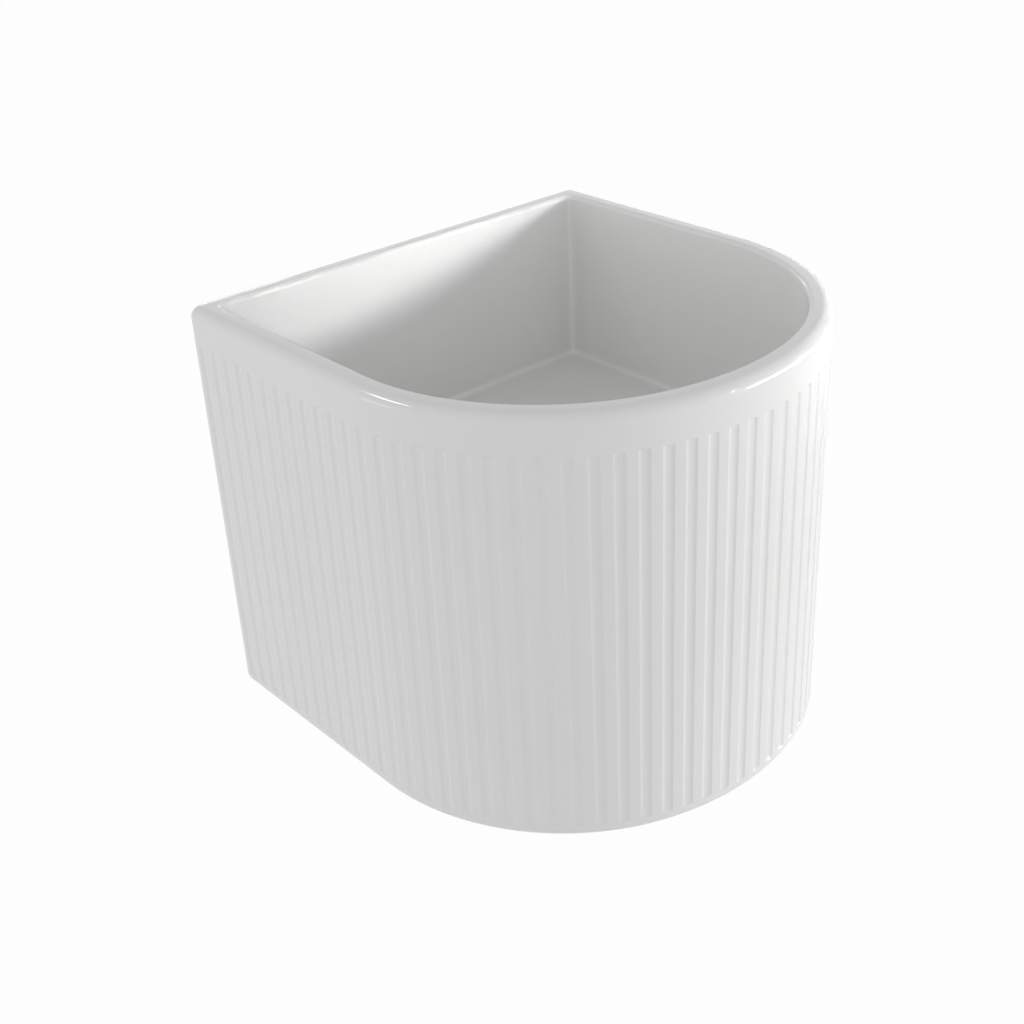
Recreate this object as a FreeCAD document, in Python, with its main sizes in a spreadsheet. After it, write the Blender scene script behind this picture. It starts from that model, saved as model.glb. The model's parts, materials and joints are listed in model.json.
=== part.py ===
import FreeCAD, Part

import math
import os
import re

import Sketcher
from FreeCAD import Placement, Rotation, Vector

doc = FreeCAD.newDocument("washbasin")
sizes = doc.addObject("Spreadsheet::Sheet", "sizes")

# Driving sizes in millimetres. Counts, angles in degrees and shares are named so.
SIZES = {
    # The glazed body, seen in plan and in section
    "body_width": 400.0,
    "body_depth": 400.0,
    "body_height": 345.0,
    "side_arc_share": 0.4775,
    "front_arc_share": 0.55,
    "back_corner": 9.5,
    "rim_width": 18.0,
    "rim_outer_round": 9.0,
    "rim_inner_round": 8.0,
    "bowl_depth": 152.0,
    "bowl_corner": 14.0,
    "bowl_fillet": 14.0,
    "floor_thickness": 14.0,
    "floor_fall": 3.0,
    "fall_radius": 130.0,
    "skirt_wall": 12.0,
    "skirt_corner": 10.0,
    "foot_round": 9.0,
    # The flutes of the skirt
    "band_top": 30.0,
    "band_foot": 11.0,
    "flute_count": 60,
    "flute_width": 7.6,
    "flute_floor": 5.0,
    "flute_depth": 1.4,
    # The opening for the pipes and the two fixing holes in the back wall
    "pipe_width": 180.0,
    "pipe_drop": 39.0,
    "pipe_corner": 40.0,
    "fixing_inset": 60.0,
    "fixing_drop": 49.0,
    "fixing_hole": 16.0,
    "sleeve_bore": 11.0,
    "sleeve_flange": 24.0,
    "sleeve_lip": 3.0,
    "sleeve_clearance": 0.1,
    # The waste fitting
    "waste_from_back": 200.0,
    "waste_hole": 46.0,
    "recess_width": 68.0,
    "recess_depth": 3.0,
    "thread_width": 41.91,
    "waste_bore": 36.0,
    "flange_width": 63.0,
    "flange_edge": 2.0,
    "flange_cone": 47.0,
    "seat_depth": 6.0,
    "waste_length": 80.0,
    "relief_width": 2.0,
    "relief_depth": 0.6,
    "gasket_width": 61.0,
    "gasket_bore": 49.0,
    "gasket_height": 1.5,
    "thread_clearance": 0.15,
    "seal_width": 55.0,
    "seal_height": 10.0,
    "seal_nose": 5.0,
    "washer_width": 56.0,
    "washer_height": 2.0,
    "nut_sides_count": 6,
    "nut_flats": 52.0,
    "nut_height": 8.0,
    # The bridge in the waste and the cartridge that stands on it
    "bridge_drop": 42.0,
    "bridge_height": 6.0,
    "bridge_arm": 3.6,
    "bridge_arms_count": 3,
    "hub_width": 14.0,
    "hub_height": 8.0,
    "stub_width": 8.0,
    "stub_length": 14.0,
    "stub_nut_width": 12.0,
    "stub_nut_height": 4.0,
    "cartridge_width": 17.0,
    "cartridge_bore": 12.4,
    "cartridge_base": 3.0,
    "cartridge_height": 27.0,
    "cartridge_cap_height": 2.0,
    # The plug, which slides on the cartridge
    "plug_travel": 9.0,
    "plug_gap": 0.3,
    "running_gap": 0.3,
    "cap_width": 62.0,
    "cap_edge": 2.4,
    "cap_dome": 2.2,
    "carrier_width": 34.0,
    "carrier_lip": 36.0,
    "carrier_lip_height": 1.2,
    "carrier_height": 5.5,
    "ring_width": 44.0,
    "ring_height": 4.0,
    "ring_edge": 1.4,
    "stem_width": 8.0,
    "stem_socket": 4.0,
    "collar_height": 3.0,
    "rotor_height": 3.0,
    "rotor_bore": 6.4,
    "rotor_lugs_count": 4,
    "rotor_lug": 2.4,
    "rotor_lug_height": 1.4,
    "spring_width": 10.4,
    "spring_wire": 1.0,
    "wire_sides_count": 6,
    "spring_turns_count": 4,
    # How far every cut runs past the face that it opens
    "overrun": 5.0,
}
FULL_TURN = 360.0
# Two lengths that differ by less than this are the same
MATCH = 1e-3

for row, (alias, number) in enumerate(SIZES.items(), start=1):
    sizes.set(f"A{row}", alias)
    sizes.set(f"B{row}", str(number))
    sizes.setAlias(f"B{row}", alias)
doc.recompute()


# Formulas over the sheet
def formula(text):
    """Turn names of sizes into references to the sheet."""
    return re.sub(r"\b([a-z]\w*)\b(?!\()", r"sizes.\1", text)


def value(text):
    """The number that a formula gives now."""
    return float(sizes.evalExpression(formula(text)))


def bind(item, prop, text):
    item.setExpression(prop, formula(text))


# Heights, arcs and places that several pieces share
SIDE_ARC = "(body_width * side_arc_share)"
FRONT_ARC = "(body_width * front_arc_share)"
WASTE_Y = "(body_depth / 2 - waste_from_back)"
FLOOR = "(body_height - bowl_depth)"
UNDERSIDE = f"({FLOOR} - floor_thickness)"
PIPE_TOP = f"({UNDERSIDE} - pipe_drop)"
FIXING_HEIGHT = f"({UNDERSIDE} - fixing_drop)"
FIXING_SIDE = "(body_width / 2 - fixing_inset)"
RECESS = f"({FLOOR} - floor_fall - recess_depth)"
FLANGE_UNDER = f"({RECESS} + gasket_height)"
FLANGE_TOP = f"({FLANGE_UNDER} + flange_edge)"
WASTE_END = f"({FLANGE_TOP} - waste_length)"
SEAL_UNDER = f"({UNDERSIDE} - seal_height)"
WASHER_UNDER = f"({SEAL_UNDER} - washer_height)"
NUT_UNDER = f"({WASHER_UNDER} - nut_height)"
HUB_TOP = f"({FLANGE_TOP} - bridge_drop)"
HUB_UNDER = f"({HUB_TOP} - hub_height)"
STUB_END = f"({HUB_TOP} - stub_length)"
BORE_FLOOR = f"({HUB_TOP} + cartridge_base)"
CARTRIDGE_TOP = f"({HUB_TOP} + cartridge_height)"
CAP_UNDER = f"({FLANGE_TOP} + plug_gap + plug_travel)"
CARRIER_UNDER = f"({CAP_UNDER} - carrier_height)"
RING_UNDER = f"({CARRIER_UNDER} + carrier_lip_height)"
COLLAR_TOP = f"({CARTRIDGE_TOP} - running_gap)"
COLLAR_UNDER = f"({COLLAR_TOP} - collar_height)"
ROTOR_TOP = f"({COLLAR_UNDER} - running_gap)"
ROTOR_UNDER = f"({ROTOR_TOP} - rotor_height)"


# Building blocks
def new_body(label):
    body = doc.addObject("PartDesign::Body", label)
    body.Label = label
    return body


def origin_feature(body, role):
    return next(item for item in body.Origin.OriginFeatures if item.Role == role)


def new_sketch(body, name, role, offset="0"):
    """A sketch on one of the body's own origin planes, moved along the plane's normal."""
    sketch = body.newObject("Sketcher::SketchObject", name)
    sketch.AttachmentSupport = (origin_feature(body, role), [""])
    sketch.MapMode = "FlatFace"
    if offset != "0":
        bind(sketch, "AttachmentOffset.Base.z", offset)
    return sketch


def dimension(sketch, name, text, kind, *where):
    """Add a named dimension that a formula drives."""
    index = sketch.addConstraint(Sketcher.Constraint(kind, *where, value(text)))
    sketch.renameConstraint(index, name)
    bind(sketch, f"Constraints.{name}", text)


def place_point(sketch, tag, geometry, end, across, up):
    """Hold one point of a sketch at two formulas from its origin."""
    if across == "0":
        sketch.addConstraint(Sketcher.Constraint("PointOnObject", geometry, end, -2))
    else:
        dimension(sketch, f"across_{tag}", across, "DistanceX", -1, 1, geometry, end)
    if up == "0":
        sketch.addConstraint(Sketcher.Constraint("PointOnObject", geometry, end, -1))
    else:
        dimension(sketch, f"up_{tag}", up, "DistanceY", -1, 1, geometry, end)


def closed_profile(sketch, points):
    """Join points, each a pair of formulas, by straight lines."""
    corners = [Vector(value(across), value(up), 0) for across, up in points]
    count = len(corners)
    first = sketch.GeometryCount
    for index in range(count):
        sketch.addGeometry(Part.LineSegment(corners[index], corners[(index + 1) % count]))
    for index in range(count):
        after = first + (index + 1) % count
        sketch.addConstraint(Sketcher.Constraint("Coincident", first + index, 2, after, 1))
    for index, (across, up) in enumerate(points):
        place_point(sketch, str(first + index), first + index, 1, across, up)


def circle(sketch, tag, across, up, width):
    """A full circle held at a point, with its diameter from a formula."""
    centre = Vector(value(across), value(up), 0)
    index = sketch.addGeometry(Part.Circle(centre, Vector(0, 0, 1), value(width) / 2))
    place_point(sketch, tag, index, 3, across, up)
    dimension(sketch, f"width_{tag}", width, "Diameter", index)


def pad(body, name, sketch, length):
    feature = body.newObject("PartDesign::Pad", name)
    feature.Profile = sketch
    bind(feature, "Length", length)
    doc.recompute()
    return feature


def pocket(body, name, sketch, length, reverse=False):
    """Cut a sketch in, and make sure that it took material away."""
    before = body.Shape.Volume
    feature = body.newObject("PartDesign::Pocket", name)
    feature.Profile = sketch
    feature.Reversed = reverse
    bind(feature, "Length", length)
    doc.recompute()
    assert body.Shape.Volume < before, f"{name} cut nothing"
    return feature


def turn(body, name, sketch, kind="PartDesign::Revolution"):
    """Turn a profile about the upright axis of its sketch."""
    feature = body.newObject(kind, name)
    feature.Profile = sketch
    feature.ReferenceAxis = (sketch, ["V_Axis"])
    feature.Angle = FULL_TURN
    doc.recompute()
    return feature


def round_edges(body, name, radius, wanted):
    """Round each edge of the body that a test picks."""
    base = body.Tip
    names = [f"Edge{number}" for number, edge in enumerate(base.Shape.Edges, start=1) if wanted(edge)]
    feature = body.newObject("PartDesign::Fillet", name)
    feature.Base = (base, names)
    bind(feature, "Radius", radius)
    doc.recompute()
    return feature


def place_waste_part(item):
    """Bring a piece that is drawn about the upright axis to the axis of the waste."""
    bind(item, "Placement.Base.y", WASTE_Y)
    return item


def turned_part(label, points):
    """A whole piece turned from one closed profile on the axis of the waste."""
    body = new_body(label)
    sketch = new_sketch(body, f"{label}_profile", "XZ_Plane")
    closed_profile(sketch, points)
    turn(body, f"{label}_turned", sketch)
    return place_waste_part(body)


# The plan of the body: straight back and sides, an arc at each side, one flatter arc in front
def plan_arcs():
    """Centres of the side and front arcs, and the angle that a side arc takes."""
    half_width = value("body_width / 2")
    side_centre_x = half_width - value(SIDE_ARC)
    lead = value(f"{FRONT_ARC} - {SIDE_ARC}")
    front_centre_y = value(f"{FRONT_ARC} - body_depth / 2")
    side_centre_y = front_centre_y - math.sqrt(lead ** 2 - side_centre_x ** 2)
    return side_centre_x, side_centre_y, front_centre_y, math.acos(side_centre_x / lead)


def d_outline(body, name, inset, height="0"):
    """The plan of the body drawn in by an inset, at a height."""
    side_centre_x, side_centre_y, front_centre_y, side_angle = plan_arcs()
    half_width = value(f"body_width / 2 - {inset}")
    back = value(f"body_depth / 2 - {inset}")
    side_radius = value(f"{SIDE_ARC} - {inset}")
    front_radius = value(f"{FRONT_ARC} - {inset}")
    up = Vector(0, 0, 1)
    side_circle = Part.Circle(Vector(side_centre_x, side_centre_y, 0), up, side_radius)
    front_circle = Part.Circle(Vector(0, front_centre_y, 0), up, front_radius)
    other_circle = Part.Circle(Vector(-side_centre_x, side_centre_y, 0), up, side_radius)
    left_back = Vector(-half_width, back, 0)
    right_back = Vector(half_width, back, 0)
    sketch = new_sketch(body, name, "XY_Plane", height)
    sketch.addGeometry(Part.LineSegment(left_back, right_back))
    sketch.addGeometry(Part.LineSegment(right_back, Vector(half_width, side_centre_y, 0)))
    sketch.addGeometry(Part.ArcOfCircle(side_circle, -side_angle, 0))
    sketch.addGeometry(Part.ArcOfCircle(front_circle, side_angle - math.pi, -side_angle))
    sketch.addGeometry(Part.ArcOfCircle(other_circle, math.pi, math.pi + side_angle))
    sketch.addGeometry(Part.LineSegment(Vector(-half_width, side_centre_y, 0), left_back))
    for kind, where in (
        ("Coincident", (0, 2, 1, 1)),
        ("Coincident", (5, 2, 0, 1)),
        ("Tangent", (1, 2, 2, 2)),
        ("Tangent", (2, 1, 3, 2)),
        ("Tangent", (3, 1, 4, 2)),
        ("Tangent", (4, 1, 5, 1)),
        ("Vertical", (1,)),
        ("Vertical", (5,)),
        ("Symmetric", (0, 1, 0, 2, -2)),
        ("Equal", (2, 4)),
        ("PointOnObject", (3, 3, -2)),
    ):
        sketch.addConstraint(Sketcher.Constraint(kind, *where))
    dimension(sketch, "side_radius", f"{SIDE_ARC} - {inset}", "Radius", 2)
    dimension(sketch, "front_radius", f"{FRONT_ARC} - {inset}", "Radius", 3)
    dimension(sketch, "width", f"body_width - 2 * {inset}", "DistanceX", 0, 1, 0, 2)
    dimension(sketch, "back", f"body_depth / 2 - {inset}", "DistanceY", -1, 1, 0, 1)
    dimension(sketch, "front_centre", f"{FRONT_ARC} - body_depth / 2", "DistanceY", -1, 1, 3, 3)
    return sketch


def upright_corners(inset):
    """A test for the two upright edges at the back of a D outline."""
    half_width = value(f"body_width / 2 - {inset}")
    back = value(f"body_depth / 2 - {inset}")

    def wanted(edge):
        box = edge.BoundBox
        at_back = abs(box.YMin - back) + abs(box.YMax - back) < MATCH
        return at_back and box.ZLength > MATCH and abs(abs(box.Center.x) - half_width) < MATCH

    return wanted


def ring_at(height, inset):
    """A test for the edges of a D outline with this inset that lie flat at a height."""
    level = value(height)
    half_width = value(f"body_width / 2 - {inset}")

    def wanted(edge):
        box = edge.BoundBox
        flat = abs(box.ZMin - level) + abs(box.ZMax - level) < MATCH
        middle = edge.valueAt((edge.FirstParameter + edge.LastParameter) / 2)
        return flat and abs(plan_reach(middle) - half_width) < MATCH

    return wanted


def plan_reach(point):
    """Half width of the D outline, of all those with the same arc centres, that runs through a point."""
    side_centre_x, side_centre_y, front_centre_y, side_angle = plan_arcs()
    side_gap = value(f"body_width / 2 - {SIDE_ARC}")
    across = abs(point.x)
    if point.y > side_centre_y:
        back_reach = point.y + value("body_width / 2 - body_depth / 2")
        return max(across, back_reach)
    angle = math.atan2(side_centre_y - point.y, across - side_centre_x)
    if 0 <= angle <= side_angle:
        return side_gap + math.hypot(across - side_centre_x, point.y - side_centre_y)
    front_gap = value(f"body_width / 2 - {FRONT_ARC}")
    return front_gap + math.hypot(across, point.y - front_centre_y)


# Fluting: stations at equal steps along the plan, and one upright cutter at each
def flute_stations():
    """Point on the outline and outward direction of each flute, as seen in plan."""
    side_centre_x, side_centre_y, front_centre_y, side_angle = plan_arcs()
    half_width = value("body_width / 2")
    back = value("body_depth / 2")
    side_radius = value(SIDE_ARC)
    front_radius = value(FRONT_ARC)
    straight = back - side_centre_y
    side_length = side_radius * side_angle
    front_length = front_radius * (math.pi / 2 - side_angle)
    per_side = int(value("flute_count")) // 2
    pitch = 2 * (straight + side_length + front_length) / (2 * per_side + 1)
    stations = []
    for number in range(1, per_side + 1):
        along = number * pitch
        if along < straight:
            point = Vector(half_width, back - along, 0)
            angle = 0.0
        elif along < straight + side_length:
            angle = (along - straight) / side_radius
            point = Vector(side_centre_x, side_centre_y, 0) + outward(angle) * side_radius
        else:
            angle = side_angle + (along - straight - side_length) / front_radius
            point = Vector(0, front_centre_y, 0) + outward(angle) * front_radius
        stations.append((point, angle))
        stations.append((Vector(-point.x, point.y, 0), math.pi - angle))
    return stations


def outward(angle):
    """Unit direction in plan, turned from +X towards the front."""
    return Vector(math.cos(angle), -math.sin(angle), 0)


def flute_cutters():
    """One upright prism for each flute, with sloping flanks and a flat floor."""
    low = value("band_foot")
    high = value("body_height - band_top")
    mouth = value("flute_width") / 2
    floor = value("flute_floor") / 2
    depth = value("flute_depth")
    clear = value("overrun")
    flare = mouth + (mouth - floor) * clear / depth
    section = [(-depth, -floor), (clear, -flare), (clear, flare), (-depth, floor)]
    prisms = []
    for point, angle in flute_stations():
        out = outward(angle)
        across = Vector(-out.y, out.x, 0)
        corners = [point + out * reach + across * side + Vector(0, 0, low) for reach, side in section]
        face = Part.Face(Part.makePolygon(corners + corners[:1]))
        prisms.append(face.extrude(Vector(0, 0, high - low)))
    return Part.makeCompound(prisms)


# The glazed body
def basin_blank():
    """The body before fluting: bowl above, open skirt below, with the waste and wall openings."""
    body = new_body("basin_blank")
    pad(body, "outside", d_outline(body, "outline", "0"), "body_height")
    round_edges(body, "back_corners", "back_corner", upright_corners("0"))
    pocket(body, "bowl", d_outline(body, "bowl_outline", "rim_width", "body_height"), "bowl_depth")
    round_edges(body, "bowl_corners", "bowl_corner", upright_corners("rim_width"))
    round_edges(body, "bowl_floor_round", "bowl_fillet", ring_at(FLOOR, "rim_width"))
    round_edges(body, "rim_outside", "rim_outer_round", ring_at("body_height", "0"))
    round_edges(body, "rim_inside", "rim_inner_round", ring_at("body_height", "rim_width"))
    cavity = d_outline(body, "cavity_outline", "skirt_wall")
    pocket(body, "cavity", cavity, UNDERSIDE, reverse=True)
    round_edges(body, "cavity_corners", "skirt_corner", upright_corners("skirt_wall"))
    round_edges(body, "foot", "foot_round", ring_at("0", "0"))
    waste_opening(body)
    back_openings(body)
    return body


def waste_opening(body):
    """Fall of the floor, recess for the flange and hole for the waste, in one turned cut."""
    sketch = new_sketch(body, "waste_profile", "XZ_Plane", f"0 - {WASTE_Y}")
    closed_profile(sketch, [
        ("0", f"{FLOOR} + overrun"),
        ("fall_radius", f"{FLOOR} + overrun"),
        ("fall_radius", FLOOR),
        ("recess_width / 2", f"{FLOOR} - floor_fall"),
        ("recess_width / 2", RECESS),
        ("waste_hole / 2", RECESS),
        ("waste_hole / 2", f"{UNDERSIDE} - overrun"),
        ("0", f"{UNDERSIDE} - overrun"),
    ])
    before = body.Shape.Volume
    turn(body, "waste_cut", sketch, "PartDesign::Groove")
    assert body.Shape.Volume < before, "the waste opening cut nothing"


def back_openings(body):
    """Arch for the pipes, open at the foot, and the two fixing holes."""
    arch = new_sketch(body, "arch", "XZ_Plane", "0 - body_depth / 2")
    closed_profile(arch, [
        ("0 - pipe_width / 2", "0 - overrun"),
        ("pipe_width / 2", "0 - overrun"),
        ("pipe_width / 2", PIPE_TOP),
        ("0 - pipe_width / 2", PIPE_TOP),
    ])
    pocket(body, "pipe_opening", arch, "skirt_wall + overrun", reverse=True)
    top = value(PIPE_TOP)

    def arch_corner(edge):
        box = edge.BoundBox
        through = box.YLength > value("skirt_wall") / 2 and box.YMin > 0
        level = abs(box.ZMin - top) + abs(box.ZMax - top) < MATCH
        return through and level and box.XLength < MATCH

    round_edges(body, "arch_corners", "pipe_corner", arch_corner)
    holes = new_sketch(body, "holes", "XZ_Plane", "0 - body_depth / 2")
    for tag, side in (("right", FIXING_SIDE), ("left", f"0 - {FIXING_SIDE}")):
        circle(holes, tag, side, FIXING_HEIGHT, "fixing_hole")
    pocket(body, "fixing_holes", holes, "skirt_wall + overrun", reverse=True)


blank = basin_blank()
cutters = doc.addObject("Part::Feature", "flute_cutters")
cutters.Shape = flute_cutters()
basin_body = doc.addObject("Part::Cut", "basin_body")
basin_body.Base = blank
basin_body.Tool = cutters
basin_body.Label = "basin_body"


# The two sleeves that line the fixing holes
def fixing_sleeves():
    """A flanged bush in each fixing hole, its flange on the inside of the back wall."""
    inner_end = "body_depth / 2 - skirt_wall - sleeve_lip"
    parts = []
    for name, width, length in (
        ("barrel", "fixing_hole - 2 * sleeve_clearance", "skirt_wall + sleeve_lip"),
        ("lip", "sleeve_flange", "sleeve_lip"),
        ("bore", "sleeve_bore", "skirt_wall + sleeve_lip + 2 * overrun"),
    ):
        part = doc.addObject("Part::Cylinder", f"sleeve_{name}")
        part.Placement = Placement(Vector(), Rotation(Vector(1, 0, 0), -90))
        bind(part, "Radius", f"({width}) / 2")
        bind(part, "Height", length)
        bind(part, "Placement.Base.x", FIXING_SIDE)
        bind(part, "Placement.Base.z", FIXING_HEIGHT)
        parts.append(part)
    barrel, lip, bore = parts
    bind(barrel, "Placement.Base.y", inner_end)
    bind(lip, "Placement.Base.y", inner_end)
    bind(bore, "Placement.Base.y", f"{inner_end} - overrun")
    outside = doc.addObject("Part::Fuse", "sleeve_outside")
    outside.Base = barrel
    outside.Tool = lip
    sleeve = doc.addObject("Part::Cut", "sleeve_right")
    sleeve.Base = outside
    sleeve.Tool = bore
    mirrored = doc.addObject("Part::Mirroring", "sleeve_left")
    mirrored.Source = sleeve
    mirrored.Normal = Vector(1, 0, 0)
    pair = doc.addObject("Part::Compound", "fixing_sleeves")
    pair.Links = [sleeve, mirrored]
    pair.Label = "fixing_sleeves"
    return pair


sleeves = fixing_sleeves()


# The waste fitting: a flanged and threaded tube with a bridge across its bore
def waste_body():
    """The tube, with a narrow groove where its free thread begins, three arms and their hub."""
    body = new_body("waste_body")
    sketch = new_sketch(body, "tube_profile", "XZ_Plane")
    closed_profile(sketch, [
        ("waste_bore / 2", WASTE_END),
        ("thread_width / 2", WASTE_END),
        ("thread_width / 2", f"{NUT_UNDER} - relief_width"),
        ("thread_width / 2 - relief_depth", f"{NUT_UNDER} - relief_width"),
        ("thread_width / 2 - relief_depth", NUT_UNDER),
        ("thread_width / 2", NUT_UNDER),
        ("thread_width / 2", f"{FLANGE_UNDER} - (flange_cone - thread_width) / 2"),
        ("flange_cone / 2", FLANGE_UNDER),
        ("flange_width / 2", FLANGE_UNDER),
        ("flange_width / 2", f"{FLANGE_TOP} - flange_edge / 2"),
        ("flange_width / 2 - flange_edge / 2", FLANGE_TOP),
        ("waste_bore / 2 + seat_depth", FLANGE_TOP),
        ("waste_bore / 2", f"{FLANGE_TOP} - seat_depth"),
    ])
    turn(body, "tube", sketch)
    arm = new_sketch(body, "arm_plan", "XY_Plane", f"{HUB_TOP} - bridge_height")
    closed_profile(arm, [
        ("0", "0 - bridge_arm / 2"),
        ("(waste_bore + thread_width) / 4", "0 - bridge_arm / 2"),
        ("(waste_bore + thread_width) / 4", "bridge_arm / 2"),
        ("0", "bridge_arm / 2"),
    ])
    first_arm = pad(body, "arm", arm, "bridge_height")
    arms = body.newObject("PartDesign::PolarPattern", "arms")
    arms.Originals = [first_arm]
    arms.Axis = (origin_feature(body, "Z_Axis"), [""])
    arms.Angle = FULL_TURN
    arms.Occurrences = int(value("bridge_arms_count"))
    body.Tip = arms
    doc.recompute()
    hub = new_sketch(body, "hub_plan", "XY_Plane", HUB_UNDER)
    circle(hub, "hub", "0", "0", "hub_width")
    pad(body, "hub", hub, "hub_height")
    hub_hole = new_sketch(body, "hub_hole_plan", "XY_Plane", HUB_TOP)
    circle(hub_hole, "hole", "0", "0", "stub_width + 2 * thread_clearance")
    pocket(body, "hub_hole", hub_hole, "hub_height")
    return place_waste_part(body)


def hex_nut(label, flats, bore, height, under):
    """A flat-sided nut on the axis of the waste."""
    prism = doc.addObject("Part::Prism", f"{label}_blank")
    prism.Polygon = int(value("nut_sides_count"))
    bind(prism, "Circumradius", f"{flats} / 2 / cos(180 / nut_sides_count)")
    bind(prism, "Height", height)
    bind(prism, "Placement.Base.z", under)
    hole = doc.addObject("Part::Cylinder", f"{label}_bore")
    bind(hole, "Radius", f"({bore}) / 2")
    bind(hole, "Height", height)
    bind(hole, "Placement.Base.z", under)
    nut = doc.addObject("Part::Cut", label)
    nut.Base = prism
    nut.Tool = hole
    nut.Label = label
    return place_waste_part(nut)


THREAD_FIT = "(thread_width / 2 + thread_clearance)"
waste = waste_body()
gasket = turned_part("flange_gasket", [
    ("gasket_bore / 2", RECESS),
    ("gasket_width / 2", RECESS),
    ("gasket_width / 2", FLANGE_UNDER),
    ("gasket_bore / 2", FLANGE_UNDER),
])
tapered_seal = turned_part("tapered_seal", [
    (THREAD_FIT, SEAL_UNDER),
    ("seal_width / 2", SEAL_UNDER),
    ("seal_width / 2", UNDERSIDE),
    ("waste_hole / 2 - running_gap", UNDERSIDE),
    (f"({THREAD_FIT} + waste_hole / 2) / 2", f"{UNDERSIDE} + seal_nose"),
    (THREAD_FIT, f"{UNDERSIDE} + seal_nose"),
])
slip_washer = turned_part("slip_washer", [
    (THREAD_FIT, WASHER_UNDER),
    ("washer_width / 2", WASHER_UNDER),
    ("washer_width / 2", SEAL_UNDER),
    (THREAD_FIT, SEAL_UNDER),
])
back_nut = hex_nut("back_nut", "nut_flats", f"2 * {THREAD_FIT}", "nut_height", NUT_UNDER)

# The cartridge: housing on the bridge, its lock nut below and its screw cap above
housing = turned_part("cartridge_housing", [
    ("0", STUB_END),
    ("stub_width / 2", STUB_END),
    ("stub_width / 2", HUB_TOP),
    ("cartridge_width / 2", HUB_TOP),
    ("cartridge_width / 2", CARTRIDGE_TOP),
    ("cartridge_bore / 2", CARTRIDGE_TOP),
    ("cartridge_bore / 2", BORE_FLOOR),
    ("0", BORE_FLOOR),
])
lock_nut = hex_nut(
    "cartridge_lock_nut",
    "stub_nut_width",
    "stub_width + 2 * thread_clearance",
    "stub_nut_height",
    f"({HUB_UNDER} - stub_nut_height)",
)
cartridge_cap = turned_part("cartridge_cap", [
    ("stem_width / 2 + running_gap", CARTRIDGE_TOP),
    ("cartridge_width / 2", CARTRIDGE_TOP),
    ("cartridge_width / 2", f"{CARTRIDGE_TOP} + cartridge_cap_height"),
    ("stem_width / 2 + running_gap", f"{CARTRIDGE_TOP} + cartridge_cap_height"),
])


# The plug: domed cap, the carrier under it, its rubber ring and the stem
CROWN_SHARES = (1.0, 0.75, 0.4)
crown_points = [
    (f"cap_width / 2 * {share}", f"{CAP_UNDER} + cap_edge + cap_dome * (1 - {share} * {share})")
    for share in CROWN_SHARES
]
cap = turned_part("plug_cap", [
    ("0", CAP_UNDER),
    ("cap_width / 2", CAP_UNDER),
    *crown_points,
    ("0", f"{CAP_UNDER} + cap_edge + cap_dome"),
])
carrier = turned_part("plug_carrier", [
    ("0", CAP_UNDER),
    ("0", f"{CARRIER_UNDER} + stem_socket"),
    ("stem_width / 2", f"{CARRIER_UNDER} + stem_socket"),
    ("stem_width / 2", CARRIER_UNDER),
    ("carrier_lip / 2", CARRIER_UNDER),
    ("carrier_lip / 2", RING_UNDER),
    ("carrier_width / 2", RING_UNDER),
    ("carrier_width / 2", CAP_UNDER),
])
ring = turned_part("plug_seal", [
    ("carrier_width / 2", RING_UNDER),
    ("ring_width / 2 - ring_height + ring_edge", RING_UNDER),
    ("ring_width / 2", f"{RING_UNDER} + ring_height - ring_edge"),
    ("ring_width / 2", f"{RING_UNDER} + ring_height"),
    ("carrier_width / 2", f"{RING_UNDER} + ring_height"),
])
stem = turned_part("plug_stem", [
    ("0", COLLAR_UNDER),
    ("cartridge_bore / 2 - running_gap", COLLAR_UNDER),
    ("cartridge_bore / 2 - running_gap", COLLAR_TOP),
    ("stem_width / 2", COLLAR_TOP),
    ("stem_width / 2", f"{CARRIER_UNDER} + stem_socket"),
    ("0", f"{CARRIER_UNDER} + stem_socket"),
])


# The latch: a ring with sloped lugs that steps round under the stem, on the spring
def latch_rotor():
    body = new_body("latch_rotor")
    sketch = new_sketch(body, "rotor_profile", "XZ_Plane")
    crown = f"{ROTOR_TOP} - rotor_lug_height"
    closed_profile(sketch, [
        ("rotor_bore / 2", ROTOR_UNDER),
        ("cartridge_bore / 2 - running_gap", ROTOR_UNDER),
        ("cartridge_bore / 2 - running_gap", crown),
        ("rotor_bore / 2", crown),
    ])
    turn(body, "rotor_ring", sketch)
    lug = new_sketch(body, "lug_side", "YZ_Plane", "rotor_bore / 2 + running_gap")
    closed_profile(lug, [
        ("0 - rotor_lug / 2", f"{crown} - rotor_lug_height"),
        ("rotor_lug / 2", f"{crown} - rotor_lug_height"),
        ("rotor_lug / 2", ROTOR_TOP),
        ("0 - rotor_lug / 2", f"({crown} + {ROTOR_TOP}) / 2"),
    ])
    first_lug = pad(body, "lug", lug, "(cartridge_bore - rotor_bore) / 2 - 3 * running_gap")
    lugs = body.newObject("PartDesign::PolarPattern", "lugs")
    lugs.Originals = [first_lug]
    lugs.Axis = (origin_feature(body, "Z_Axis"), [""])
    lugs.Angle = FULL_TURN
    lugs.Occurrences = int(value("rotor_lugs_count"))
    body.Tip = lugs
    doc.recompute()
    return place_waste_part(body)


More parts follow.
